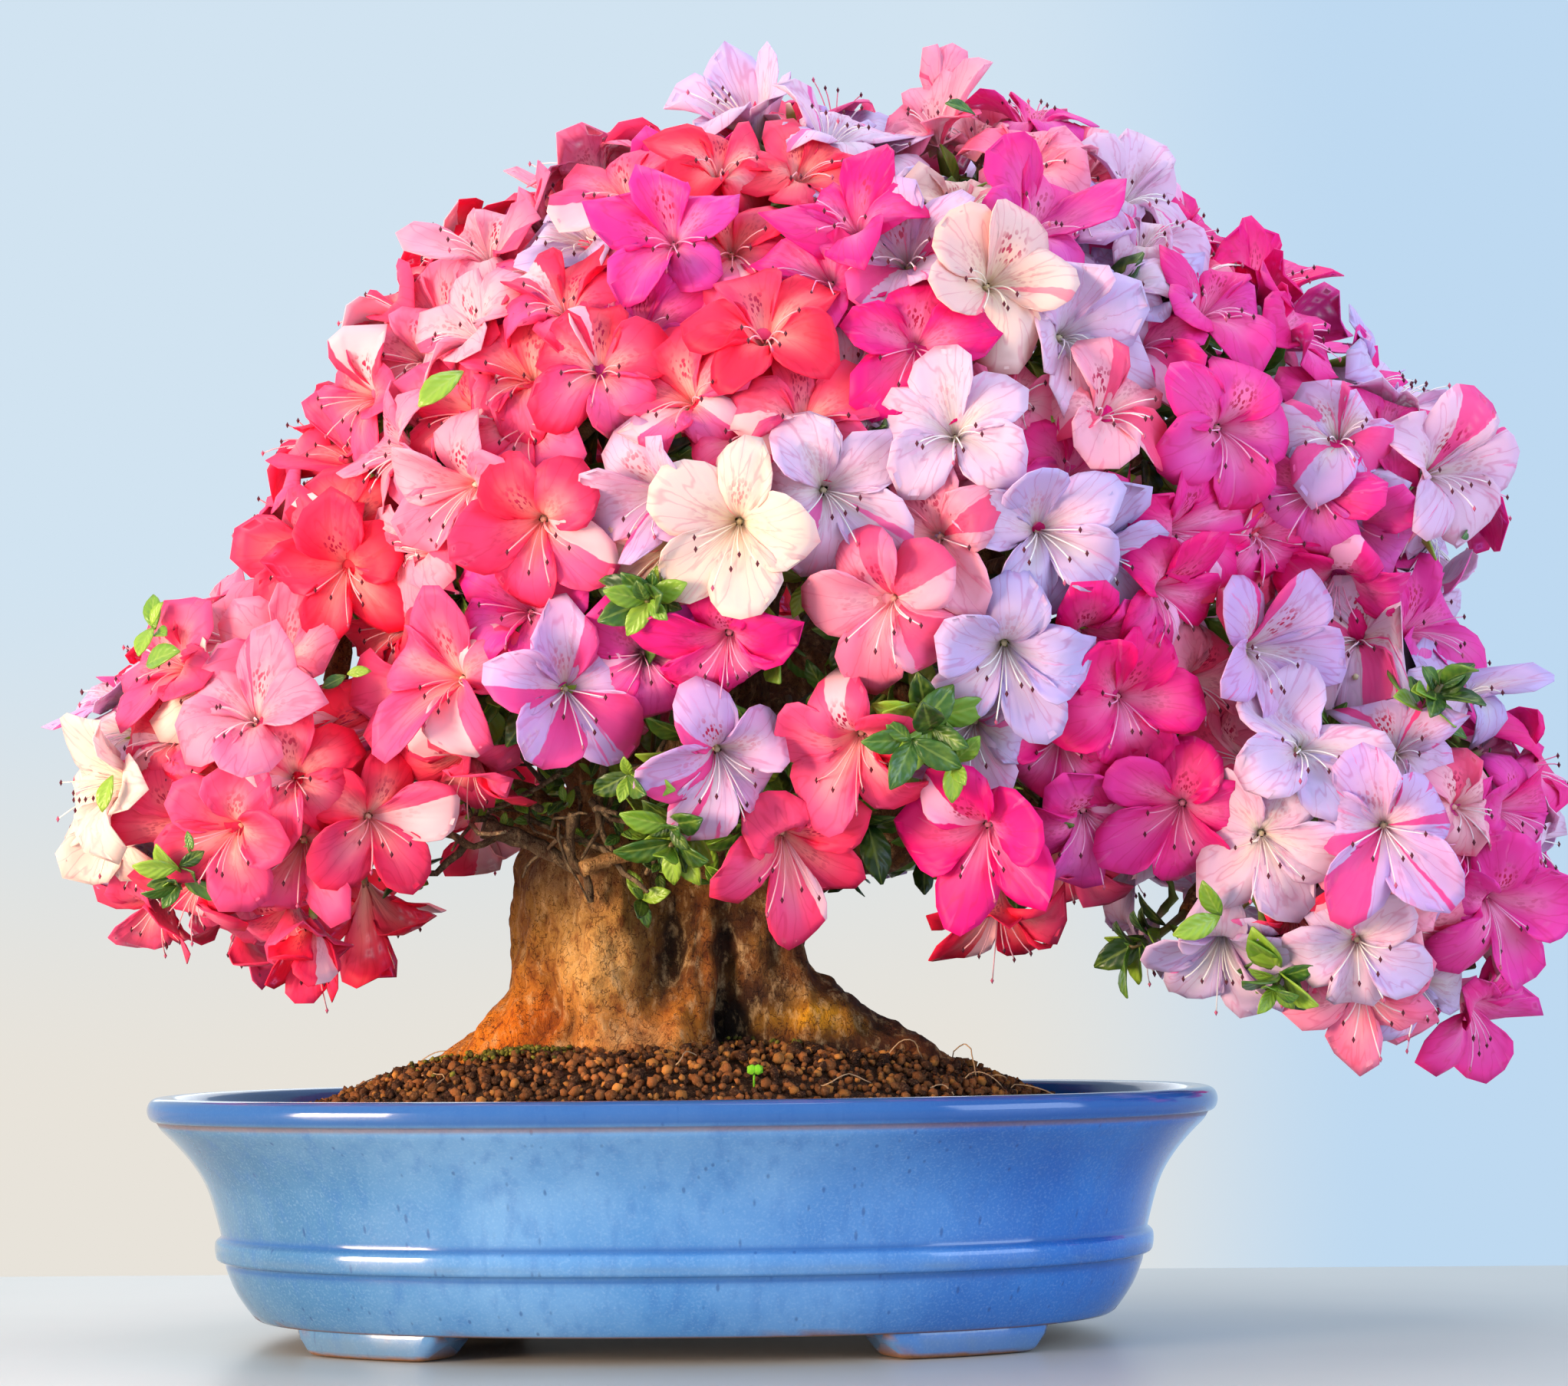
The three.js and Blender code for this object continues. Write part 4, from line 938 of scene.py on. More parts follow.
def grown_bunches(sprays):
    """The bunches as the solids have them, with the blooms that stand between those added. A bloom's
    rank says which of two that touch lies on top."""
    places = surface_places(**TIP_TRIES)
    front = sorted(front_blooms(FRONT_BLOOMS, SEEDS["front"]), key=lambda bloom: -bloom["rank"])
    kept, among = [], []
    for bloom in front:
        clear = all(np.linalg.norm(b["place"] - bloom["place"]) > FRONT_APART for b in kept)
        (kept if clear else among).append(bloom)
    kept += further_blooms(kept, places, OTHERS_APART, SEEDS["others"], 0)
    tips = branch_tips(sprays, places)
    give_to_tips(kept, tips)
    bunches = [tip for tip in tips if tip["blooms"]]
    among += front_blooms(CREASE_BLOOMS, SEEDS["creases"])
    for bloom in among:
        bloom["place"] = bloom["place"] - bloom["out"] * AMONG_SUNK
        bloom["rank"] -= 0.3
    places = [(place, normal) for place, normal in surface_places(**FILL_TRIES) if normal[2] > -0.6]
    fill = further_blooms(kept + among, places, FILL_APART, SEEDS["fill"], FILL_SUNK)
    give_to_tips(among + fill + bud_blooms(), bunches)
    layer_blooms(bunches)
    return bunches


# Blooms

# Petal colours by the bloom's letter: two that each bloom mixes, one for the throat, and one for marks
PALETTE = {
    "C": ("#FF1C46", "#FF4C82", "#FFD0C2", "#FFC2CE"),
    "M": ("#FA087A", "#F0349E", "#FFB0D4", "#FFB4DC"),
    "P": ("#FF6E9A", "#FFA6BA", "#FFD6D0", "#FF4478"),
    "W": ("#C6AEE0", "#E6BAD6", "#DCD2BA", "#F05CA8"),
    "S": ("#CFA2D8", "#E8B6D2", "#DAD0B8", "#F43488"),
    "Y": ("#F8C2BC", "#F8D2C8", "#EEDEB8", "#FF8496"),
}
# The filaments' colours by the bloom's letter, and the anthers' colour and half sizes
FILAMENT = {"C": "#FFB3BC", "M": "#F9A6CF", "P": "#FBE0E2", "W": "#F7F0EC", "S": "#F6E4EC", "Y": "#FBF0DC"}
ANTHER = "#5A1E2E"
ANTHER_SIZE = [0.65, 0.65, 1.25]
# How strongly the throat's dots show, by the bloom's letter
STIPPLED = {"C": 1.0, "M": 1.0, "P": 1.1, "W": 0.2, "S": 0.85, "Y": 0.6}
PETAL_THICK = 0.4
SHOWN_LARGER = 1.07  # petals reach a little past the solids' blooms, which are blunter
BUD_OPENNESS = 74  # degrees that a bud's petals rise

# How often a petal has a band of the marks' colour, and the band's likely half widths
BANDED = {
    "C": (0.16, (0.25, 0.6)), "M": (0.08, (0.3, 0.5)), "P": (0.3, (0.06, 0.3, 0.7)),
    "W": (0.2, (0.04, 0.1, 0.3)), "S": (0.8, (0.05, 0.1, 0.3, 0.55)), "Y": (0.3, (0.05, 0.12)),
}
# How strongly a petal may be flecked
FLECKED = {"S": 0.85, "W": 0.3, "P": 0.4, "Y": 0.3, "M": 0.15, "C": 0}

# The funnel's depth, the width over which it flares, and where the lobes bend off it, in radii
THROAT = dict(depth=0.62, width=0.21, hinge=0.27)


def per_bloom(blooms, name):
    """One value of each bloom as an array."""
    return np.array([bloom[name] for bloom in blooms])


def into_place(blooms, local):
    """Points in each bloom's own frame, in its radii, turned into the tree's frame: side, lift and out
    times the three numbers, times the radius, plus the bloom's place."""
    axes = np.stack([per_bloom(blooms, name) for name in ("side", "lift", "out")], axis=1)
    flat = local.reshape(len(blooms), -1, 3)
    radius = per_bloom(blooms, "radius")[:, None, None] * SHOWN_LARGER
    return (flat @ axes * radius + per_bloom(blooms, "place")[:, None]).reshape(local.shape)


def throat_height(radius):
    """The funnel's height at a radius, both in the bloom's radii: depth times e^(-radius / width)."""
    return -THROAT["depth"] * np.exp(-radius / THROAT["width"])


def petal_middles(blooms, rows, columns, random):
    """Middle surfaces of five petals for each bloom, in its radii, over v from the throat to the margin
    and u across. A lobe's outline is an ellipse seen from the throat, where m is its centre's distance
    over its half length: at scaled angles t up to asin(1/m) the far side is m cos t + sqrt(1 - m^2
    sin^2 t), and a small bell makes some tips pointed. The height is the funnel's; past a hinge the
    lobe turns up or back by the bloom's openness and curls on. Across it the lobe folds along its
    midrib, cups with the square of the way across, twists, and waves at its margins."""

    def each(low, high):
        return random.uniform(low, high, (len(blooms), 5, 1, 1))

    v = np.linspace(0, 1, rows)[:, None]
    u = np.sin(np.linspace(-math.pi / 2, math.pi / 2, columns))[None, :]
    petal = np.arange(5)[None, :, None, None]
    lower = ((petal == 2) | (petal == 3)) * 1.0
    length = each(0.86, 1.0) + 0.08 * lower
    m = each(1.32, 1.52)
    half_length = length / (1 + m)
    half_width = each(0.34, 0.44)
    t = u * np.arcsin(1 / m) * 0.998
    far = m * np.cos(t) + np.sqrt(1 - m**2 * np.sin(t) ** 2)
    far = far * (1 + each(0, 0.19) * hump(u, 0, 0.3))
    far = far * (1 + each(0, 0.022) * np.sin(each(9, 15) * u + each(0, 6)))
    share = 0.06 + 0.94 * v**1.2
    x = half_length * far * np.cos(t) * share
    y = half_width * far * np.sin(t) * share
    height = throat_height(np.hypot(x, y))

    beyond = np.maximum(0, x - THROAT["hinge"])
    opened = np.radians(per_bloom(blooms, "openness")[:, None, None, None] + each(-19, 19))
    turned = opened - np.radians(each(-15, 75)) * beyond
    x = np.minimum(x, THROAT["hinge"]) + beyond * np.cos(turned)
    height = height + beyond * np.sin(turned)

    outer = smooth_step(0.3, 0.75, v)
    height = height + outer * np.abs(y) * each(-0.2, 0.45)
    height = height + outer * (y / 0.4) ** 2 * each(-0.14, 0.1)
    height = height + outer * y * each(-0.45, 0.45) + 0.05 * u * v * (1 - v)
    height = height - 0.018 * outer * hump(y, 0, 0.05)
    margin = np.maximum(np.abs(u) ** 3 * outer, v**5)
    wave = np.sin(each(4, 6.5) * u + each(0, 6))
    wave = wave + 0.6 * np.sin(each(9, 13) * v * np.sign(u) + 3 * u + each(0, 6))
    height = height + each(0.03, 0.12) * margin * wave
    angle = np.radians(90 + 72 * petal + each(-7, 7))
    sideways = x * np.cos(angle) - y * np.sin(angle)
    upwards = x * np.sin(angle) + y * np.cos(angle)
    return stacked(sideways, upwards, height)


def give_way(points, bloom):
    """Moves a bloom's points under the blooms that lie on top of it: where a point is above another's
    funnel less a small gap, it goes down along that bloom's axis, wholly inside 0.8 of its radius and
    not at all past 1.15 of it."""
    for over in bloom["under"]:
        radius = over["radius"] * SHOWN_LARGER
        offset = (points - over["place"]) / radius
        high = offset @ over["out"]
        reach = np.linalg.norm(offset - high[..., None] * over["out"], axis=-1)
        slope = math.tan(math.radians(over["openness"] * 0.7))
        skin = throat_height(reach) + np.maximum(0, reach - THROAT["hinge"]) * slope
        excess = np.clip(high - skin + 0.09, 0, 0.7)
        inside = 1 - smooth_step(0.8, 1.15, reach)
        points = points - (excess * inside)[..., None] * over["out"] * radius
    return points


def petal_colours(blooms, rows, columns, random):
    """Colours and marks of the petals at each grid point: the bloom's colour is a mix of its palette's
    two, shifted a little for each petal, and turns to the throat's colour towards the base."""
    count = len(blooms)
    shape = (count, 5, 2, rows, columns, 3)
    v = np.linspace(0, 1, rows)[:, None, None]
    u = np.sin(np.linspace(-math.pi / 2, math.pi / 2, columns))[None, :, None]

    def each(low, high, petals=5):
        return random.uniform(low, high, (count, petals, 1, 1, 1, 1))

    letter = [bloom["colour"] for bloom in blooms]
    palette = np.array([linear(PALETTE[c]) for c in letter])
    first, second, throat, mark = (palette[:, i, None, None, None, None] for i in range(4))
    mixed = each(0, 1, 1) + each(-0.4, 0.4)
    along = each(-0.9, 0.5, 1) + each(-0.2, 0.2)
    mixed = np.clip(mixed + along * (v - 0.5) + each(-0.3, 0.3) * u, 0, 1)
    tint = first * (1 - mixed) + second * mixed
    inward = np.clip((0.5 - v) / 0.5, 0, 1) ** 1.3
    ray = hump(u, 0, 0.45) * (1 - smooth_step(0.35, 0.85, v))
    pale = np.clip(0.6 * inward + 0.42 * ray * each(0, 1), 0, 1)
    tint = tint * (1 - pale) + throat * pale
    # Painted shade: violet in the middle of the lower petals of red blooms, more of it to the right of the
    # tree, away from the warm key light
    rightwards = smooth_step(-120, 60, per_bloom(blooms, "place")[:, 0])
    painted_cool_shade = np.array([c in "CM" for c in letter]) * random.uniform(-0.15, 0.5, count)
    painted_cool_shade = painted_cool_shade * (0.35 + 0.65 * rightwards)
    painted_cool_shade = np.clip(painted_cool_shade, 0, 1)[:, None] * np.array([0, 0.3, 1, 1, 0.3])
    painted_cool_shade = painted_cool_shade[..., None, None, None, None] * hump(v, 0.62, 0.3)
    tint = tint * (1 - painted_cool_shade) + linear("#DC6AC8") * painted_cool_shade
    flecked = np.array([FLECKED[c] for c in letter])[:, None] * random.uniform(0, 1, (count, 5))
    strength = np.array([STIPPLED[c] for c in letter]) * random.uniform(0.55, 1.6, count)
    dotted = np.clip(strength[:, None] * np.array([1, 0.3, 0, 0, 0.3]), 0, 1)
    marks = stacked(flecked, dotted, 0.0)[:, :, None, None, None]
    chance = np.array([BANDED[c][0] for c in letter])[:, None]
    half = np.array([random.choice(BANDED[c][1], 5) for c in letter])
    half = half * random.uniform(0.8, 1.2, (count, 5))
    centre = np.clip(random.uniform(-1.1, 1.1, (count, 5)), -0.95, 0.95)
    shown = (random.random((count, 5)) < chance) * 0.92
    band = stacked(centre, half, shown)[:, :, None, None, None]
    seed = random.uniform(0, 40, (count, 5, 1, 1, 1))
    place = stacked(u[..., 0], v[..., 0], seed)
    return {
        name: np.broadcast_to(value, shape).reshape(-1, 3)
        for name, value in dict(tint=tint, accent=mark, place=place, marks=marks, band=band).items()
    }


def petal_surface(blooms, rows, columns, random):
    """The petals of several blooms as thin closed blades."""
    middle = into_place(blooms, petal_middles(blooms, rows, columns, random))
    middle = np.stack([give_way(points, bloom) for points, bloom in zip(middle, blooms)])
    points = shell_points(middle, PETAL_THICK)
    faces = copies(shell_faces(rows, columns), 2 * rows * columns, 5 * len(blooms))
    return Surface(points, faces, **petal_colours(blooms, rows, columns, random))


def coloured(surface, colours, points_each):
    """A surface of equal blocks of points with one plain colour for each block."""
    tint = np.repeat(np.asarray(colours), points_each, axis=0)
    return surface.valued(
        tint=tint, accent=tint, place=[0.5, 0.5, 0.0], marks=[0.0, 0.0, 0.0], band=[0.0, 0.0, 0.0],
    )


OCTAHEDRON = np.array([[1, 0, 0], [-1, 0, 0], [0, 1, 0], [0, -1, 0], [0, 0, 1], [0, 0, -1]], float)
OCTAHEDRON_FACES = np.array([
    [0, 2, 4], [2, 1, 4], [1, 3, 4], [3, 0, 4], [2, 0, 5], [1, 2, 5], [3, 1, 5], [0, 3, 5],
])


def stamen_surface(blooms, each, random):
    """Stamens and one longer pistil for each bloom. A filament is a quadratic curve from the throat,
    along the bloom's axis, out over the lower petals, and its anther is a small faceted bead."""
    count = len(blooms)
    number = each + 1
    fan = np.radians(np.linspace(-155, -25, number) + random.uniform(-13, 13, (count, number)))
    reach = random.uniform(0.26, 0.52, (count, number))
    height = random.uniform(0.05, 0.17, (count, number))
    fan[:, each // 2] = math.radians(-92)
    reach[:, each // 2] = 0.62
    height[:, each // 2] = 0.2
    openness = np.tan(np.radians(per_bloom(blooms, "openness") * 0.6))[:, None]
    height = height + reach * np.maximum(0, openness)
    around = stacked(np.cos(fan), np.sin(fan), 0.0)
    upright = np.array([0, 0, 1.0])
    start = around * 0.03 - upright * 0.4
    end = around * reach[..., None] + upright * height[..., None]
    bend = around * (0.42 * reach)[..., None] + upright * (height[..., None] * 0.3)
    steps, sides = 6, 3
    lines = bent_line(start[:, :, None], bend[:, :, None], end[:, :, None], steps)
    lines = into_place(blooms, lines)
    lines = np.stack([give_way(points, bloom) for points, bloom in zip(lines, blooms)])
    lines = lines.reshape(count * number, steps, 3)
    filament = np.repeat(linear([FILAMENT[b["colour"]] for b in blooms]), number, axis=0)
    threads = coloured(tubes(lines, 0.3, sides), filament, steps * sides + 2)
    beads = lines[:, -1, None] + OCTAHEDRON * ANTHER_SIZE
    bead_colours = np.tile(linear(ANTHER), (count, number, 1))
    bead_colours[:, each // 2] = linear("#C9587A")
    beads = Surface(beads, (), copies(OCTAHEDRON_FACES, 6, count * number))
    return join([threads, coloured(beads, bead_colours.reshape(-1, 3), 6)])


def stalk_surface(blooms, tip):
    """Calyx and stalk behind each bloom: a tube along its axis that closes the petals' tube with a
    pale end, swells to the calyx and bends towards the branch tip."""
    count = len(blooms)
    radius = per_bloom(blooms, "radius")[:, None] * SHOWN_LARGER
    place, out = per_bloom(blooms, "place"), per_bloom(blooms, "out")
    base = place - out * 0.44 * radius
    neck = place - out * 0.84 * radius
    end = neck + unit(tip["place"] - neck) * 12
    lines = np.stack([base, (base + neck) / 2, neck, (neck + end) / 2 - out, end], axis=1)
    sides = 5
    each = lines.shape[1] * sides + 2
    tint = np.tile(linear("#7C9440"), (count, each, 1))
    throat = linear([PALETTE[b["colour"]][2] for b in blooms]) * [1.0, 0.95, 0.8]
    tint[:, [*range(sides), each - 2]] = throat[:, None]
    tube = tubes(lines, np.array([1.0, 1.9, 2.1, 1.2, 1.1]), sides)
    return coloured(tube, tint.reshape(-1, 3), 1)


# Grids of a petal by the lowest and highest rank of the blooms that have them, and their stamens
PETAL_GRIDS = [(0.75, 9.0, 10, 12, 5), (0.5, 0.75, 8, 9, 5), (-9.0, 0.5, 6, 8, 4)]


def bunch_surface(bunch, random):
    """A bunch's blooms: the higher their rank, the finer their petals' grids."""
    parts = []
    for lowest, highest, rows, columns, stamens in PETAL_GRIDS:
        blooms = [b for b in bunch["blooms"] if lowest <= b["rank"] < highest]
        if blooms:
            parts.append(petal_surface(blooms, rows, columns, random))
            parts.append(stamen_surface(blooms, stamens, random))
            parts.append(stalk_surface(blooms, bunch))
    return join(parts)


def layer_blooms(bunches):
    """Gives each bloom its openness, in degrees that the petals rise, one in six half closed, and the
    list of blooms that lie on top of it: neighbours of higher rank, the highest first."""
    random = np.random.default_rng(SEEDS["openness"])
    blooms = [bloom for bunch in bunches for bloom in bunch["blooms"]]
    for bloom in blooms:
        bloom["colour"] = warm_lit_colour(bloom, random.random())
        half_closed = random.random() < 0.16
        bloom["openness"] = random.uniform(24, 44) if half_closed else random.uniform(-12, 18)
        if "bud" in bloom:
            bloom["openness"] = BUD_OPENNESS
    blooms.sort(key=lambda bloom: -bloom["rank"])
    places, radii = per_bloom(blooms, "place"), per_bloom(blooms, "radius")
    for i, bloom in enumerate(blooms):
        apart = np.linalg.norm(places[:i] - bloom["place"], axis=1)
        near = np.nonzero(apart < (radii[:i] + bloom["radius"]) * SHOWN_LARGER * 1.1)[0]
        bloom["under"] = [blooms[j] for j in near]


# Leaves


def leaf_template(rows, columns):
    """A leaf of length 1: half width 0.02 + 0.23 sin(pi t^1.15)^0.8, so it is widest just past its
    middle and has a blunt tip, folded up along its midrib and bent down towards its tip, as a thin closed
    blade."""
    t = np.linspace(0, 1, rows)[:, None]
    u = np.linspace(-1, 1, columns)[None, :]
    half = 0.02 + 0.23 * np.maximum(0, np.sin(math.pi * t**1.15)) ** 0.8
    across = half * u
    height = 0.35 * np.abs(across) - 0.2 * t**2 + 0.02 * np.sin(6 * t) * u
    points = shell_points(stacked(t, across, height), 0.028).reshape(-1, 3)
    return points, shell_faces(rows, columns), np.tile(stacked(u, t).reshape(-1, 2), (2, 1))


FINE_LEAF = leaf_template(7, 5)
INNER_LEAF = leaf_template(5, 3)
LEAF_GREENS = ["#2A4A1C", "#3A6424", "#4E7A2C", "#729C2C", "#92B63A"]


def rosette_surface(places, outs, leaves, length, random, template=FINE_LEAF):
    """Rosettes of leaves: in each, leaves turn by the golden angle round the twig and lean outwards
    more the lower they sit."""
    count = len(places)
    index = np.arange(leaves)[None, :]
    turn = index * 2.4 + random.uniform(0, 6.3, (count, 1)) + random.uniform(-0.5, 0.5, (count, leaves))
    lean = np.radians(15 + 50 * index / leaves + random.uniform(-24, 24, (count, leaves)))
    frames = [bloom_frame(out, 0) for out in outs]
    side, lift = per_bloom(frames, "side")[:, None], per_bloom(frames, "lift")[:, None]
    out = np.array(outs)[:, None]
    around = side * np.cos(turn)[..., None] + lift * np.sin(turn)[..., None]
    along = unit(around * np.cos(lean)[..., None] + out * np.sin(lean)[..., None])
    above = unit(out - along * np.sum(out * along, -1, keepdims=True))
    axes = np.stack([along, np.cross(above, along), above], axis=-2)
    size = length * random.uniform(0.5, 1.15, (count, leaves, 1, 1))
    base = np.array(places)[:, None, None] + out[:, :, None] * (index[..., None, None] * 1.4 - 5)
    blade, faces, blade_place = template
    points = blade @ axes * size + base
    each = len(blade)
    chosen = linear(LEAF_GREENS)[random.integers(0, len(LEAF_GREENS), (count, leaves))]
    tint = np.repeat(chosen.reshape(-1, 3), each, axis=0)
    seed = np.repeat(random.uniform(0, 30, count * leaves), each)[:, None]
    place = np.concatenate([np.tile(blade_place, (count * leaves, 1)), seed], axis=1)
    return Surface(points, copies(faces, each, count * leaves), tint=tint, place=place)


def twig_surface(starts, ends, radius):
    """Olive brown twigs with a sag between their ends, thinner towards their leaves."""
    middle = (starts + ends) / 2 - [0, 0, 2]
    twigs = tubes(np.stack([starts, middle, ends], axis=1), np.array([1.4, 1.1, 0.8]) * radius, 5)
    return twigs.valued(tint=linear("#6B5A34"), place=[0.5, 0.5, 0.0])


def inner_foliage():
    """Rosettes of leaves 26 to 40 mm under the blooms all over the canopy, the twigs they stand on, and
    the leaves over the trunk's shoulder."""
    random = np.random.default_rng(SEEDS["foliage"])
    places, outs = [], []
    for place, normal in surface_places(**FOLIAGE_TRIES):
        place = place - normal * random.uniform(26, 40)
        out = unit(normal + random.normal(0, 0.25, 3))
        if not in_window(place):
            places.append(place)
            outs.append(out)
    places, outs = np.array(places), np.array(outs)
    parts = [
        rosette_surface(places, outs, *INNER_LEAVES, random, INNER_LEAF),
        twig_surface(places - outs * 30, places, 1.0),
    ]
    for px, py, leaves, length in WINDOW_LEAVES:
        place = seen_at_depth(px, py, WINDOW["leaves"])
        out = unit(np.array([0.15, -0.8, 0.45]) + random.normal(0, 0.25, 3))
        parts.append(rosette_surface([place], [out], leaves, length, random))
    for px, py, leaves, length in LEAF_TUFTS:
        place, normal = canopy_seen(px, py)
        out = unit(normal + unit(EYE - place) * 0.5)
        parts.append(rosette_surface([place + out * 10], [out], leaves, length, random))
    return join(parts)


# Wood


def apart_from(angle, other):
    """The difference of two angles in degrees, 0 to 180."""
    return np.abs((angle - other + 540) % 360 - 180)


def angle_round_trunk(x, y):
    """The angle of places round the trunk's axis in degrees, 0 to 360."""
    return np.degrees(np.arctan2(y, x - TRUNK_X)) % 360


def bell(angle, middle, width):
    """A bell round an angle: e^-(apart / width)^2."""
    return hump(apart_from(angle, middle), 0, width)


def fissure_depth(angle, z):
    """How deep the trunk's fissures cut in at an angle and height: a narrow bell round each fissure's
    wandering angle, faded at both ends."""
    depth = np.zeros(np.broadcast(angle, z).shape)
    for f in FISSURES:
        wander = f["angle"] + 4 * np.sin(z / 17 + f["angle"])
        starts = smooth_step(f["low"] - 10, f["low"] + 6, z)
        ends = 1 - smooth_step(f["high"] - 10, f["high"] + 12, z)
        depth = depth + f["depth"] * bell(angle, wander, f["width"]) * (starts * ends)
    return depth


def trunk_radius(angle, z):
    """The trunk's radius at an angle in degrees and a height: an oval that narrows above the roots,
    with flutes, a lobe on its left front with a valley beside it, a bell for each surface root that
    falls to nothing at the root's rise, less the old hollow, and drawn in at the shoulder."""
    turn = np.radians(angle)
    rise = np.maximum(0, z - 118) / 80
    radius = 1 / np.hypot(np.cos(turn) / 56.5, np.sin(turn) / (43 - 4 * rise))
    radius = radius + 2.6 * np.sin(5 * turn + z / 34) + 1.8 * np.sin(9 * turn - z / 26)
    radius = radius + 9 * bell(angle, 233, 25) * hump(z, 145, 36, 4)
    radius = radius - 9 * bell(angle, lobe_edge(z), 7) * hump(z, 140, 34, 4)
    above = np.maximum(0, z - ROOT_LEVEL)
    for root in ROOTS:
        fade = np.maximum(0, 1 - above / root["rise"]) ** 1.15
        radius = radius + root["reach"] * fade * bell(angle, root["angle"], root["width"] * (1 + above / 24))
    radius = radius - HOLLOW["depth"] * hollow_share(angle, z) * (1 - 0.5 * smooth_step(112, 135, z))
    shoulder = np.clip((z - 176) / 20, 0, 1) ** 1.5
    return radius * (1 - (0.14 + 0.3 * bell(angle, 195, 55)) * shoulder)


def lobe_edge(z):
    """The angle of the valley on the right of the trunk's left lobe, which slants with height."""
    return 268 + 15 * np.clip((z - 118) / 52, 0, 1)


def hollow_share(angle, z):
    """How much of the hollow's depth is cut at an angle and height, 0 to 1."""
    up = np.clip((z - HOLLOW["z"]) / HOLLOW["height"], 0, 1)
    middle = HOLLOW["foot"] - HOLLOW["slant"] * up
    return bell(angle, middle, HOLLOW["width"] - HOLLOW["narrows"] * up) * (1 - up**3)


def stem_surface():
    """The trunk's foot and shaft as a grid round and up it, closed at both ends, less its fissures."""
    rows, columns = 100, 220
    z = np.linspace(TRUNK_FOOT_Z, TRUNK_TOP_Z, rows)[:, None]
    angle = np.linspace(0, 360, columns, endpoint=False)[None, :]
    radius = trunk_radius(angle, z) - fissure_depth(angle, z)
    turn = np.radians(angle)
    rings = stacked(TRUNK_X + radius * np.cos(turn), radius * np.sin(turn), z)
    return closed_rings(rings, [[TRUNK_X, 0, TRUNK_FOOT_Z], [TRUNK_X, 0, TRUNK_TOP_Z]])


def limb_surface():
    """The limbs as tubes along their curves, with knees and thick places."""
    steps = 17
    lines = np.array([bent_line(*limb, steps) for limb in LIMBS], float)
    t = np.linspace(0, 1, steps)
    radii = np.interp(t, np.linspace(0, 1, len(LIMB_RADII)), LIMB_RADII)
    knots = 1 + 0.1 * np.sin(t * 17 + np.arange(len(LIMBS))[:, None] * 2)
    knots = knots * np.array(LIMB_THICKNESS)[:, None]
    sway = value_noise(lines, 34, 5)[..., None] * np.array([4.0, 4.0, 2.0]) * np.sin(math.pi * t)[:, None]
    return tubes(lines + sway, radii * knots, 16)


def branch_surface(ends):
    """Branches from the nearest fork of a limb to each tip, crooked as old azalea wood is."""
    forks = np.concatenate([bent_line(*limb, 5)[1:] for limb in LIMBS])
    steps = 9
    lines = []
    for end in ends:
        fork = forks[np.argmin(np.linalg.norm(forks - end, axis=1))]
        lines.append(bent_line(fork, (fork + end) / 2 + [0, 0, -12], end, steps))
    lines = np.array(lines)
    t = np.linspace(0, 1, steps)
    swing = np.sin(math.pi * t)[:, None]
    crooked = stacked(*(value_noise(lines, 19, seed) for seed in (11, 12, 13))) * 4.5 * swing
    branches = tubes(lines + crooked, np.interp(t, [0, 0.5, 1], BRANCH_RADII), 8)
    return branches.valued(tint=bark_and_shade_colours(branches.points, np.zeros(len(branches.points))))


def window_twig_surface():
    """The short gnarled twigs on the trunk's left shoulder: some along curves through their pixels, the
    pale stub of a cut branch among them, and a tangle of others by walks that keep turning."""
    parts = []
    for radius, pixels in [*WINDOW_TWIGS, CUT_STUB]:
        places = [seen_at_depth(px, py, WINDOW["twigs"] + 3 * i) for i, (px, py) in enumerate(pixels)]
        line = curve_through(places, 3)
        t = np.linspace(0, 1, len(line))
        thick = radius * (1.15 - 0.4 * t + 0.12 * np.sin(23 * t))
        tint = linear("#C8955A" if pixels is CUT_STUB[1] else "#7A6248")
        parts.append(tubes(line[None], thick, 7).valued(tint=tint))
    random = np.random.default_rng(SEEDS["twigs"])
    for _ in range(TANGLE["twigs"]):
        px = random.uniform(TANGLE["left"], TANGLE["right"])
        py = random.uniform(TANGLE["top"], TANGLE["bottom"])
        start = seen_at_depth(px, py, random.uniform(-66, -46))
        heading = np.cumsum(random.normal(0, 1, (7, 3)) * [1, 0.5, 1], axis=0) + random.normal(0, 2.2, 3)
        line = start + np.cumsum(unit(heading) * random.uniform(3.5, 6.5), axis=0)
        twig = tubes(line[None], random.uniform(0.6, 1.5) * np.linspace(1.2, 0.6, 7), 5)
        tint = linear("#7C6850") * random.uniform(0.5, 1.5)
        parts.append(twig.valued(tint=tint))
    return join(parts)


# Patches of the bark: their middle's angle and height, half widths in degrees and mm, colour and strength.
# The pale one at 242 degrees on the left lobe is a painted highlight; the near black ones at 272, 311 and
# 322 degrees, in the pit, the hollow and under the root, are painted shade; the dark browns at 345 and
# 352 degrees on the right are partly the bark's brown and partly painted shade.
BARK_PATCHES_AND_PAINTED_LIGHT = [
    (242, 140, 20, 17, "#F8BC6C", 0.75), (212, 114, 15, 12, "#F67A10", 1.0),
    (190, 112, 16, 16, "#FF941C", 1.0), (284, 115, 12, 10, "#F8942A", 0.95),
    (262, 112, 16, 6, "#ECB070", 0.7), (272, 127, 5, 10, "#3A2A10", 0.85),
    (296, 146, 6, 24, "#D87E30", 0.7), (331, 146, 14, 14, "#9A5020", 0.7),
    (352, 114, 20, 26, "#54220E", 0.85), (311, 113, 15, 14, "#140805", 1.0),
    (322, 107, 14, 5, "#20100A", 0.9), (333, 118, 8, 5, "#F0A41C", 1.0),
    (228, 172, 30, 12, "#96785A", 0.55), (345, 172, 30, 22, "#4A2818", 0.6),
]


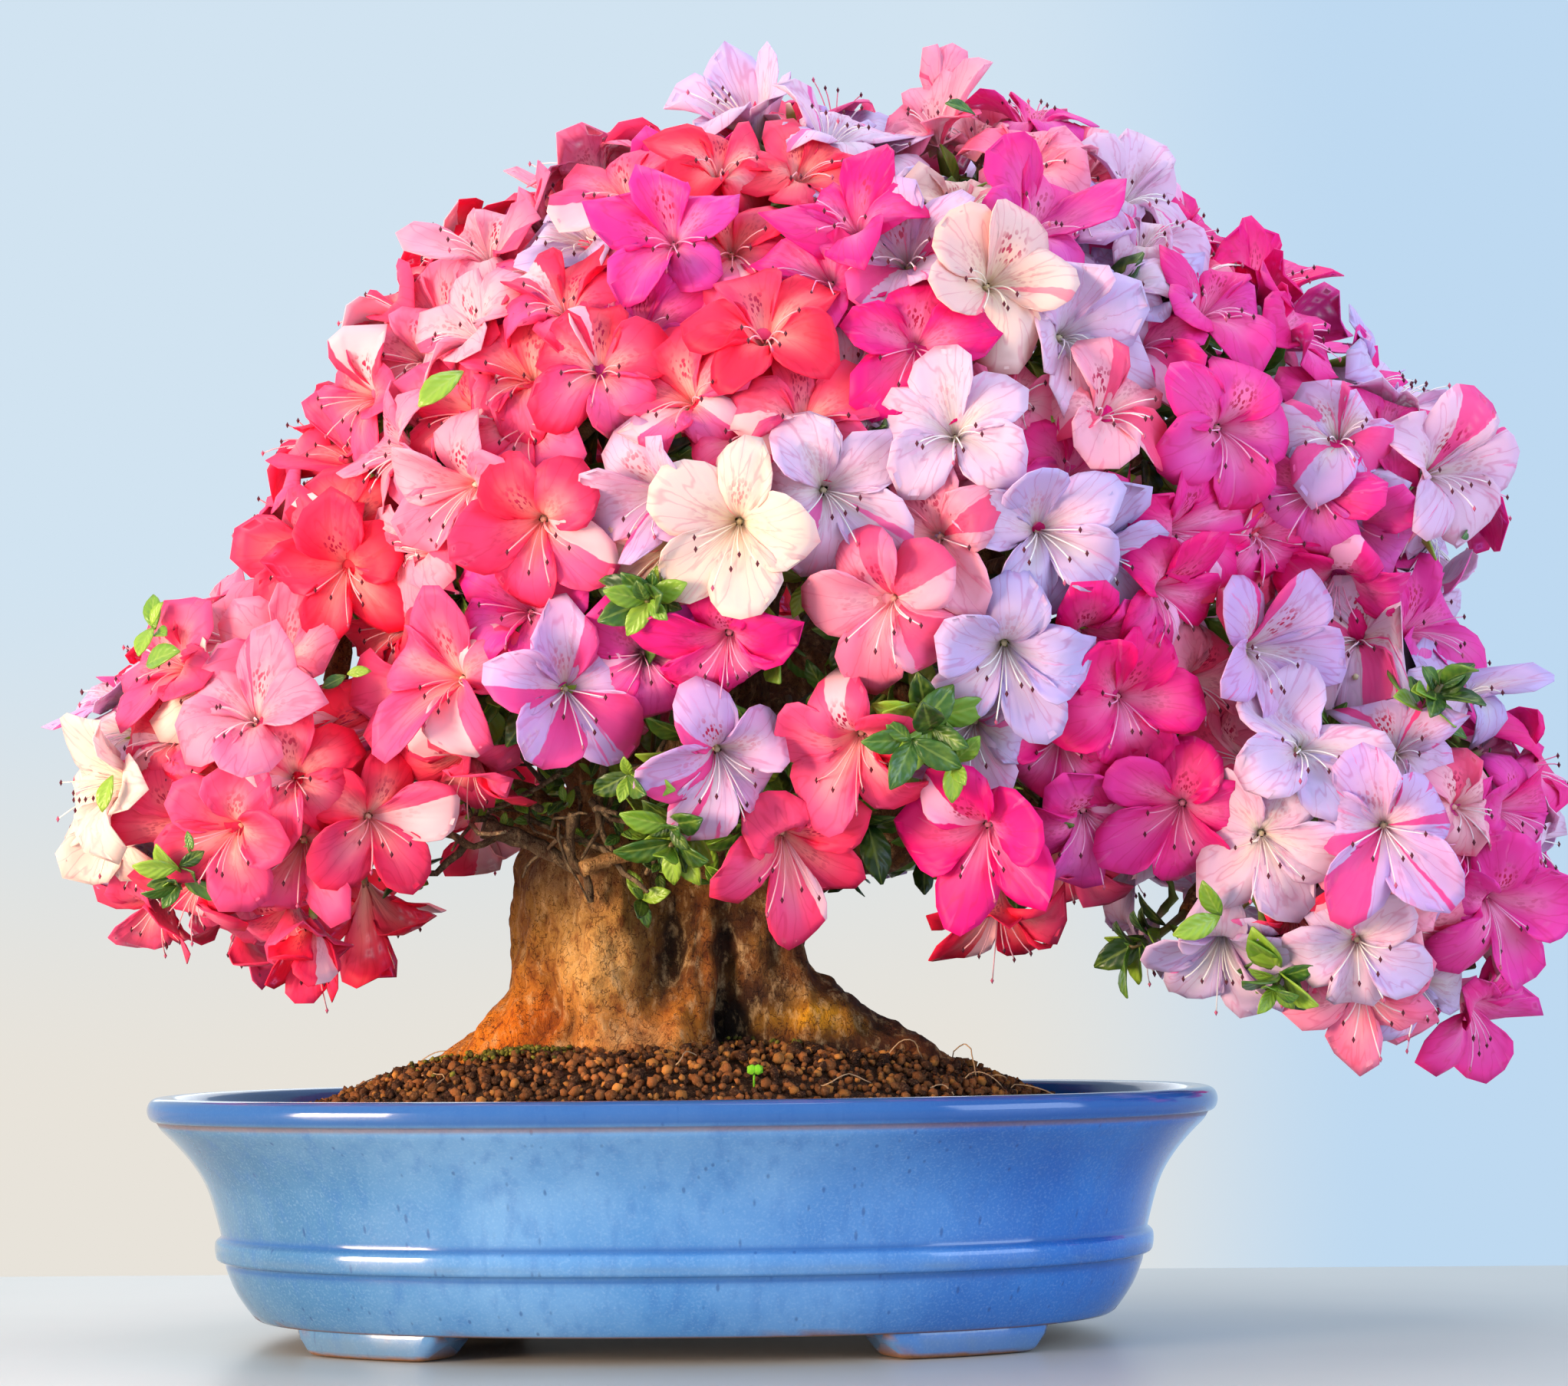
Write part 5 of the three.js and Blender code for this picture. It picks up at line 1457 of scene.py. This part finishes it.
def bark_and_shade_colours(places, cut):
    """Bark by height and form: bright orange on the roots and the foot, tan on the shaft's left lobe,
    dark brown to its right, partly the bark's brown and partly painted shade, grey brown above, and
    nearly black as painted shade in the fissures, the hollow and the valley by the lobe, with noise at
    three sizes between them, and patches as bells round their middles, one a painted highlight and
    several painted shade."""
    x, y, z = places[:, :1], places[:, 1:2], places[:, 2:]
    broad = value_noise(places, 22, 21)[:, None]
    small = value_noise(places, 7, 22)[:, None]
    fine = value_noise(places, 2.6, 23)[:, None]
    tint = np.tile(linear("#C28A40"), (len(places), 1))

    def towards(colour, share):
        return tint * (1 - share) + linear(colour) * share

    tint = towards("#D28A2E", np.clip(0.5 + 0.8 * broad + 0.3 * small, 0, 1))
    tint = towards("#A45C24", np.clip(0.15 + 0.9 * small + 0.5 * fine, 0, 1) * 0.75)
    above = np.maximum(0, z - 96)
    foot = hump(above, 0, 27) * np.clip(0.95 + 0.9 * broad + 0.3 * small, 0, 1)
    tint = towards("#F08216", foot * 0.95)
    glow = hump(above, 0, 22) * smooth_step(0.1, 0.6, small + 0.5 * broad)
    tint = towards("#F6A646", glow * 0.7)
    # Partly painted shade: dark brown on the right, away from the warm key light, over the bark's own brown
    rightwards = smooth_step(-16, 12, x + 6 * small)
    tint = towards("#5E2A0E", 0.8 * rightwards * np.clip(0.85 + 0.6 * small + 0.3 * broad, 0, 1))
    high = smooth_step(158, 196, z) * np.clip(0.8 + 0.5 * broad, 0, 1)
    tint = towards("#866444", 0.7 * high)
    angle = angle_round_trunk(x, y)
    for middle, level, wide, tall, colour, strength in BARK_PATCHES_AND_PAINTED_LIGHT:
        near = bell(angle, middle, wide) * hump(z, level, tall)
        tint = towards(colour, strength * np.clip(near * (1.15 + 0.6 * small), 0, 1))
    # Painted shade: nearly black in the fissures, the hollow and the valley by the lobe, as far as the cut
    # says
    return towards("#24160E", np.clip(cut[:, None], 0, 1) * 0.92)


def wood_mesh():
    """The stem and limbs made one by a voxel surface and roughened along its normals by noise at
    several sizes, with burrs in places."""
    mesh = new_mesh("trunk", join([stem_surface(), limb_surface()]))
    remesh = dict(mode="VOXEL", voxel_size=0.002, use_smooth_shade=True)
    mesh = finished_mesh("trunk", mesh, ("REMESH", remesh), ("SMOOTH", dict(factor=0.5, iterations=1)))
    places, normals = mesh_arrays(mesh)
    drawn = places * [1, 1, 0.35]
    relief = 3.2 * value_noise(places, 19, 36) + 2.5 * value_noise(drawn, 10, 31)
    relief += 1.7 * value_noise(drawn, 5, 32) + 0.9 * value_noise(places, 3, 33)
    burr = smooth_step(0.1, 0.5, value_noise(places, 24, 35))
    relief += 2.2 * burr * value_noise(places, 6, 34)
    x, y, z = places.T
    angle = angle_round_trunk(x, y)
    # Painted shade for the bark: darker in the fissures, deep in the hollow, in the valley beside the lobe
    # and where the relief sinks
    cut = fissure_depth(angle, z) / 9
    cut = cut + hollow_share(angle, z) ** 1.5 * (1.4 - 1.15 * smooth_step(118, 138, z))
    cut = cut + 0.55 * bell(angle, lobe_edge(z), 4) * hump(z, 138, 30, 4)
    set_places(mesh, places + normals * (relief * 0.75)[:, None])
    set_values(mesh, tint=bark_and_shade_colours(places, np.where(z < TRUNK_TOP_Z, cut, 0) - 0.12 * relief))
    return mesh


# Soil


def squared_circle(turn, power):
    """A circle's cosine and sine, each to that power with its sign kept: the squarer the less it is."""
    return [np.sign(part) * np.abs(part) ** power for part in (np.cos(turn), np.sin(turn))]


def oval_points(angle, inset, z):
    """Points of the pot's oval: a superellipse of the rim's half sizes less the inset."""
    x, y = squared_circle(angle, 2 / POT_SQUARENESS)
    return stacked(x * (RIM_HALF[0] - inset), y * (RIM_HALF[1] - inset), z)


def oval_sum(x, y, inset):
    """|x / a|^p + |y / b|^p for the oval at that inset, which is 1 on it and less inside it."""
    half = RIM_HALF - inset
    return np.abs(x / half[0]) ** POT_SQUARENESS + np.abs(y / half[1]) ** POT_SQUARENESS


def soil_height(x, y):
    """The soil's surface: a mound that falls with the cosine of its reach to the power 2.35, with small
    bumps."""
    reach = np.minimum(1, np.hypot(x / 155, y / 112))
    bumps = 1.1 * np.sin(x / 9.5 + 1.3) * np.cos(y / 8.1) + 0.8 * np.sin(x / 5.3 - y / 6.7)
    return SOIL_EDGE_Z + MOUND_RISE * (1 + np.cos(math.pi * reach**2.35)) / 2 + bumps * (1 - reach)


def icosahedron():
    """The twelve corners of an icosahedron from the golden ratio, and its twenty faces."""
    g = (1 + math.sqrt(5)) / 2
    corners = [[-1, g, 0], [1, g, 0], [-1, -g, 0], [1, -g, 0], [0, -1, g], [0, 1, g], [0, -1, -g],
               [0, 1, -g], [g, 0, -1], [g, 0, 1], [-g, 0, -1], [-g, 0, 1]]
    faces = [[0, 11, 5], [0, 5, 1], [0, 1, 7], [0, 7, 10], [0, 10, 11], [1, 5, 9], [5, 11, 4],
             [11, 10, 2], [10, 7, 6], [7, 1, 8], [3, 9, 4], [3, 4, 2], [3, 2, 6], [3, 6, 8], [3, 8, 9],
             [4, 9, 5], [2, 4, 11], [6, 2, 10], [8, 6, 7], [9, 8, 1]]
    return unit(np.array(corners, float)), np.array(faces)


def grain_surface(places, sizes, colours, random):
    """Granules: icosahedra with their corners pushed in or out a little, each turned and coloured its
    own way."""
    corners, faces = icosahedron()
    count = len(places)
    axes = unit(random.normal(size=(count, 3, 3)))
    second = unit(axes[:, 1] - axes[:, 0] * np.sum(axes[:, 1] * axes[:, 0], -1, keepdims=True))
    turned = np.stack([axes[:, 0], second, np.cross(axes[:, 0], second)], axis=1)
    stretch = random.uniform(0.6, 1.15, (count, 1, 3))
    rough = random.uniform(0.72, 1.15, (count, 12, 1))
    points = (corners * stretch * rough) @ turned * sizes[:, None, None] + places[:, None]
    return Surface(points, (), copies(faces, 12, count), tint=np.repeat(colours, 12, axis=0))


SOIL_BROWNS = ["#7A4520", "#96582C", "#3A1E10", "#84502A", "#BC7838", "#4E2C18"]
GRAIN_PITCH = 3.35
WALL_INSET = 14.5  # where the granules end, at the pot's inner wall

# The bed under the granules: its wall as inset and height, the insets of its top, and how far the top
# lies under the granules' middles
BED_FOOT_Z = FLOOR_Z + 0.6
BED_WALL = ((51.5, BED_FOOT_Z), (33.5, 55.0), (19.5, 79.0))
BED_TOP = (16, 24, 34, 46, 60, 76, 92, 110, 128, 140)
BED_SUNK = 1.4


def soil_places(random):
    """Granule places on a jittered grid over the open soil between the trunk and the pot's wall."""
    x, y = np.meshgrid(np.arange(-186, 187, GRAIN_PITCH), np.arange(-136, 137, GRAIN_PITCH))
    x = x.ravel() + random.uniform(-1.5, 1.5, x.size)
    y = y.ravel() + random.uniform(-1.5, 1.5, y.size)
    height = soil_height(x, y)
    outside = np.hypot(x - TRUNK_X, y) > trunk_radius(angle_round_trunk(x, y), height) - 3
    return stacked(x, y, height)[(oval_sum(x, y, WALL_INSET) < 1) & outside]


def soil_surface():
    """The soil: a closed bed under the granules, the granules, moss beside the roots, pale rootlets
    and a seedling."""
    random = np.random.default_rng(SEEDS["soil"])
    turn = np.linspace(0, 2 * math.pi, 96, endpoint=False)
    rings = [oval_points(turn, inset, z) for inset, z in BED_WALL]
    for inset in BED_TOP:
        ring = oval_points(turn, inset, 0)
        ring[:, 2] = soil_height(ring[:, 0], ring[:, 1]) - BED_SUNK
        rings.append(ring)
    ends = [[0, 0, BED_FOOT_Z], [0, 0, soil_height(0.0, 0.0) - BED_SUNK]]
    # Painted shade: the bed's dark brown stands for the gaps between the granules
    bed = closed_rings(np.stack(rings), ends, tint=linear("#3A2416"))
    places = soil_places(random)
    sizes = 0.95 + np.minimum(1.9, random.gamma(2.2, 0.38, len(places)))
    browns = linear(SOIL_BROWNS)
    damp = 0.85 + 0.45 * value_noise(places, 26, 71)[:, None]
    shade = random.uniform(0.6, 1.35, (len(places), 1)) * damp
    colours = browns[random.integers(0, len(browns), len(places))] * shade
    places = places + np.array([0, 0, 1.0]) * random.uniform(-0.6, 1.3, (len(places), 1))
    grains = grain_surface(places, sizes, colours, random)
    return join([bed, grains, moss_surface(random), rootlet_surface(random), seedling_surface()])


# Moss: each patch's middle angle round the trunk, its spread in degrees and its number of beads
MOSS = [(214, 7, 120), (226, 9, 60), (196, 6, 24), (322, 6, 30), (60, 12, 100), (120, 10, 70)]


def moss_surface(random):
    """Moss: small green beads in patches against the trunk's foot."""
    parts = []
    for angle, spread, number in MOSS:
        at = np.radians(random.normal(angle, spread * 0.6, number))
        reach = trunk_radius(np.degrees(at) % 360, 104.0) + random.gamma(1.6, 4.0, number) - 1
        x, y = TRUNK_X + reach * np.cos(at), reach * np.sin(at)
        parts.append(stacked(x, y, soil_height(x, y) + random.uniform(1.0, 2.6, number)))
    places = np.concatenate(parts)
    colours = linear(["#6A661C", "#86802A", "#4C4A16"])[random.integers(0, 3, len(places))]
    return grain_surface(places, random.uniform(0.7, 1.5, len(places)), colours, random)


def seedling_surface():
    """A seedling's two round leaves, bright green, on a short stalk in front of the trunk."""
    x, y = 32.0, -84.0
    ground = float(soil_height(x, y))
    stalk = np.array([[[x, y, ground], [x, y - 0.5, ground + 3], [x + 0.3, y - 1, ground + 5.5]]])
    stem = tubes(stalk, 0.4, 5)
    corners, faces = icosahedron()
    leaves = [corners * [2.0, 0.5, 2.2] + stalk[0, 2] + [side, -0.4, 0.8] for side in (-0.9, 1.3)]
    blades = Surface(np.concatenate(leaves), (), copies(faces, 12, 2))
    return join([stem, blades]).valued(tint=linear("#7FD02A"))


def rootlet_surface(random):
    """Rootlets: pale threads that lie on the soil in loose bends, by a walk whose heading drifts. A few
    on the right of the mound arch high."""
    count, steps, tall = 26, 9, 8
    turn = random.uniform(0, 2 * math.pi, count)
    reach = random.uniform(0.5, 0.93, count)
    x = reach * 165 * np.cos(turn)
    y = reach * 120 * np.sin(turn)
    x[:tall], y[:tall] = random.uniform(66, 122, tall), random.uniform(-40, 10, tall)
    heading = random.uniform(0, 2 * math.pi, (count, 1))
    heading = heading + np.cumsum(random.normal(0, 0.35, (count, steps)), 1)
    step = random.uniform(1.2, 3.4, (count, 1))
    x = x[:, None] + np.cumsum(step * np.cos(heading), 1)
    y = y[:, None] + np.cumsum(step * np.sin(heading), 1)
    arch = random.uniform(0.3, 4, (count, 1)) * np.sin(math.pi * np.linspace(0, 1, steps))
    arch[:tall] *= 2.2
    lines = stacked(x, y, soil_height(x, y) + 1.2 + arch)
    return tubes(lines, 0.28, 3).valued(tint=linear("#C9A27A"))


# The pot

# Its walls as inset from the rim's outline and height: bowl, belt, outer wall, lip and inner wall
BOWL = [[42, BASE_Z], [39, BASE_Z + 0.8], [32.7, 19], [29.2, 27], [28.4, 30.2]]
BELT = [[28.0, 30.8], [25.6, 31.6], [24.9, 33.4], [24.6, 36], [24.9, 38.2], [26.2, 39.4]]
WALL = [
    [26.9, 40.2], [25.4, 46], [22.8, 55], [19.8, 61.8], [15.2, 68.6], [9.6, 75], [5.2, 79.4], [4.0, 81.4],
]
LIP = [
    [3.4, 82.4], [1.4, 83.2], [0.3, 85], [0, 87.4], [0.9, 89.9], [3.0, 91.3], [6, POT_HEIGHT],
    [8.8, 91.1], [10.6, 89.6],
]
INNER = [[13.5, 85], [17, 79], [32, 55], [43, 25], [50, FLOOR_Z + 0.4], [56, FLOOR_Z]]
POT_COLUMNS = 160
FOOT_ANGLES = (34, 64.4)  # where one foot starts and ends round the oval; the others mirror it

# Heights on its outside: the belt's lower edge and the lip's crest, where the glaze is thin, the crease
# under the lip, where the unglazed clay's brown is painted as a line of shade, and the grooves under and
# above the belt, where it pools
BELT_EDGE, LIP_CREST, LIP_CREASE, LOW_GROOVE, HIGH_GROOVE = 33.4, 91.2, 82.0, 29.6, 40.2


def pot_body():
    """The pot's body: its profile, a smooth curve through each stretch, carried round the oval."""
    stretches = [curve_through(part, 3) for part in (BOWL, BELT, WALL, LIP, INNER)]
    profile = np.concatenate(stretches)
    floor = [[60, FLOOR_Z], [90, FLOOR_Z], [120, FLOOR_Z]]
    base = [[120, BASE_Z], [90, BASE_Z], [60, BASE_Z], [46, BASE_Z]]
    profile = np.concatenate([base, profile, floor])
    turn = np.linspace(0, 2 * math.pi, POT_COLUMNS, endpoint=False)
    rings = oval_points(turn[None, :], profile[:, :1], profile[:, 1:])
    return closed_rings(rings, [[0, 0, BASE_Z], [0, 0, FLOOR_Z]])


def foot_surface(start, end):
    """A foot: a block with rounded edges that follows the oval between two angles. Its section is a
    rounded rectangle over inset and height, and its ends round off and slope in towards the ground."""
    rows, section = 26, 24
    turn = np.linspace(0, 2 * math.pi, section, endpoint=False)
    wide, tall = squared_circle(turn, 0.36)
    t = np.linspace(-1, 1, rows)[:, None]
    rounded = (1 - np.abs(t) ** 14) ** 0.5 * 0.12 + 0.88
    height = 6.2 + 6.2 * tall[None, :] * rounded
    inset = 51 - (10 - 0.9 * (height < 3)) * wide[None, :] * rounded
    slope = 3.0 * (1 - np.clip(height / 9, 0, 1))
    middle, half = (start + end) / 2, (end - start) / 2
    angle = np.radians(middle + t * (half - slope * np.sign(half)))
    rings = oval_points(angle, inset, height)
    return closed_rings(rings, [rings[0].mean(0), rings[-1].mean(0)])


def drill_object(x):
    """A round cutter that reaches through the pot's floor at one drain hole."""
    line = np.array([[[x, 0, BASE_Z - 12.0], [x, 0, FLOOR_Z - 4.0], [x, 0, FLOOR_Z + 12.0]]])
    return new_object("drain", new_mesh("drain", tubes(line, DRAIN_RADIUS, 48)))


def pot_mesh():
    """The body with its feet and drain holes, and its zones: where the glaze is thin, where the clay
    shows unglazed, with the crease under the lip, whose clay brown is painted shade, and where the glaze
    pools deep."""
    near, far = FOOT_ANGLES
    spans = [(near, far), (180 - far, 180 - near), (180 + near, 180 + far), (360 - far, 360 - near)]
    mesh = new_mesh("pot", join([pot_body(), *[foot_surface(a, b) for a, b in spans]]))
    cutters = [drill_object(x) for x in (-DRAIN_X, DRAIN_X)]
    cuts = [("BOOLEAN", dict(operation="DIFFERENCE", solver="EXACT", object=c)) for c in cutters]
    mesh = finished_mesh("pot", mesh, *cuts)
    for cutter in cutters:
        bpy.data.objects.remove(cutter)
    places, _ = mesh_arrays(mesh)
    x, y, z = places.T
    reach = oval_sum(x, y, 0) ** (1 / POT_SQUARENESS)
    outside = reach > 0.7
    uneven = value_noise(places, 14, 51) * 0.7 + value_noise(places, 4, 52) * 0.4
    ridges = hump(z, BELT_EDGE, 1.4) * 0.5 + hump(z, LIP_CREST, 0.7) * 0.5
    thin = np.clip(ridges * (0.6 + uneven), 0, 1) * outside * 0.7
    foot = (z < BASE_Z - 0.4) * 1.0
    thin = np.maximum(thin, 0.5 * foot + 0.4 * foot * uneven)
    bare_clay_and_shade = 1 - smooth_step(0.7, 2.2, z + 1.3 * uneven)
    bare_clay_and_shade = np.maximum(bare_clay_and_shade, np.where((np.abs(z - BASE_Z) < 0.3) & (reach < 0.78), 1.0, 0.0))
    # Painted shade: the crease under the lip takes the unglazed clay's brown
    crease = hump(z, LIP_CREASE, 0.9) * (reach < 0.99)
    worn = hump(z - BASE_Z, 0.6, 0.7) * smooth_step(0.1, 0.5, uneven)
    bare_clay_and_shade = np.maximum(bare_clay_and_shade, 0.75 * np.maximum(crease, worn) * outside)
    deep = smooth_step(LIP_CREASE + 0.4, LIP_CREASE + 2.4, z) * 0.85
    deep = deep + hump(z, LOW_GROOVE, 1.1) * 0.8 + hump(z, HIGH_GROOVE, 1.2) * 0.8
    set_values(mesh, zones=stacked(thin, bare_clay_and_shade, np.clip(deep * outside, 0, 1)))
    return mesh


# Everything in its place

petal = petal_material()
leaf = leaf_material()
bark = bark_material()
soil = soil_material()
glaze = glaze_material()
screen_plastic = plain_material("moulded_polyethylene_mesh", "#1F2226", 0.55, 0.0, 2.0, "#2E3236", 0.3)
wire = plain_material("annealed_aluminium_wire", "#A4A4A8", 0.34, 1.0, 1.2, "#C0C0C4", 0.2)

show("glazed_pot", pot_mesh(), glaze, "glaze", "pot")
show("soil_granules", soil_surface(), soil, "soil", "soil")

sprays = leaf_centres()
bunches = grown_bunches(sprays)
node_names = sorted(name for name in frame["nodes"] if name.startswith("bloom_bunch_"))
if len(node_names) != len(bunches):
    raise SystemExit(f"{len(bunches)} bunches grew for {len(node_names)} nodes")
slots = {part["node"]: part["material_slot"] for part in frame["record"]["subparts"]}

branches = branch_surface([grown["end"] for grown in bunches + sprays])
show("old_trunk", wood_mesh(), bark, "bark", "trunk")
show("branches", join([branches, window_twig_surface()]), bark, "bark")

for number, (node, bunch) in enumerate(zip(node_names, bunches), 1):
    random = np.random.default_rng(SEEDS["bunches"] + number)
    show(f"blooms_{number:02d}", bunch_surface(bunch, random), petal, slots[node], node)

for number, spray in enumerate(sprays, 1):
    random = np.random.default_rng(SEEDS["sprays"] + number)
    out = spray["out"]
    places = [spray["place"] - out, spray["place"] - out * 9]
    surface = join([
        rosette_surface(places, [out, out], *SPRAY_LEAVES, random),
        twig_surface(np.array([spray["end"]]), np.array([spray["place"] + out * 4]), 1.3),
    ])
    show(f"leaves_{number:02d}", surface, leaf, "leaf", f"leafy_spray_{number:02d}")

show("inner_leaves", inner_foliage(), leaf, "leaf")

for node, material in (("drainage_screen", screen_plastic), ("drainage_wire", wire)):
    for side in ("left", "right"):
        slots_of = frame["nodes"][f"{node}_{side}"].data.materials
        slots_of.clear()
        slots_of.append(material)


# The studio


STAGE_BACK = 300.0  # how far behind the pot's middle the stage's floor ends
STAGE_REACH = 4000.0
STAGE_Z = -0.05  # a hair under the feet
LIT_MIDDLE = np.array([20.0, 0.0, 200.0])  # the middle of the tree, which the softboxes face

# Each softbox's name, place, width, power and colour
SOFTBOXES = [
    ("warm_key", [-1200, -980, 240], 600, 36, "#FFE2C2"),
    ("cool_fill", [1300, -900, 500], 900, 12, "#CFE2FF"),
    ("top", [100, 100, 1500], 900, 8, "#FFFFFF"),
    ("back", [-300, 1400, 700], 900, 3, "#FFFFFF"),
]


def studio_floor():
    """A plain pale floor under the pot's feet, slightly glossy."""
    front = [[-STAGE_REACH, -STAGE_REACH, STAGE_Z], [STAGE_REACH, -STAGE_REACH, STAGE_Z]]
    back = [[STAGE_REACH, STAGE_BACK, STAGE_Z], [-STAGE_REACH, STAGE_BACK, STAGE_Z]]
    floor = new_object("floor", new_mesh("floor", Surface(front + back, [[0, 1, 2, 3]])))
    floor.data.materials.append(
        plain_material("satin_painted_board", "#C2BEB6", 0.36, 0.0, 60.0, "#C8C4BC", 0.02)
    )


def softbox(name, place, width, power, colour):
    """A square light at a place in millimetres that faces the middle of the tree."""
    data = bpy.data.lights.new(name, "AREA")
    data.shape = "SQUARE"
    data.size = width / 1000
    data.energy = power
    data.color = tuple(linear(colour))
    back = unit(np.array(place, float) - LIT_MIDDLE)
    right = unit(np.cross([0, 0, 1.0], back))
    set_pose(new_object(name, data), np.array(place, float), right, np.cross(back, right), back)


def set_pose(thing, place, right, upward, back):
    """Puts a lamp or camera at a place, with its own x, y and z along three directions."""
    columns = np.column_stack([right, upward, back])
    pose = Matrix(columns.tolist()).to_4x4()
    pose.translation = place / 1000 + ORIGIN
    thing.matrix_world = pose


def studio_world():
    """Soft pale light from all round: light blue, bluer on the right, and cream low on the left."""
    world = bpy.data.worlds.new("studio")
    bpy.context.scene.world = world
    world.use_nodes = True
    tree = world.node_tree
    tree.nodes.clear()
    towards = add(tree, "TexCoord").outputs["Generated"]
    rightwards, _, upwards = add(tree, "SeparateXYZ", {0: towards}).outputs
    bluer, low, left = (
        add(tree, "MapRange", {0: value, 1: start, 2: end}, **SOFTLY)
        for value, start, end in (
            (rightwards, 0.0, 0.12), (upwards, 0.14, -0.03), (rightwards, 0.12, -0.01),
        )
    )
    blue = add(tree, "Mix", {0: bluer, 6: "#D1E3F1", 7: "#BED9F1"}, **COLOURS)
    low_left = add(tree, "Math", {0: low, 1: left}, operation="MULTIPLY")
    sky = add(tree, "Mix", {0: low_left, 6: blue, 7: "#E8E3DA"}, **COLOURS)
    light = add(tree, "Background", {"Color": sky, "Strength": 1.0})
    add(tree, "OutputWorld", {"Surface": light})


def studio_camera():
    """The camera at the reference view, with its focal length from the view's pixels."""
    data = bpy.data.cameras.new("camera")
    data.sensor_fit = "HORIZONTAL"
    data.sensor_width = SENSOR_WIDTH
    data.lens = VIEW["focal"] / VIEW["width"] * SENSOR_WIDTH
    data.clip_start = 0.05
    data.clip_end = 30
    camera = new_object("camera", data)
    set_pose(camera, EYE, RIGHT, UPWARD, -FORWARD)
    bpy.context.scene.camera = camera


studio_floor()
studio_world()
for lamp in SOFTBOXES:
    softbox(*lamp)
studio_camera()
bpy.context.scene.view_settings.view_transform = "Standard"
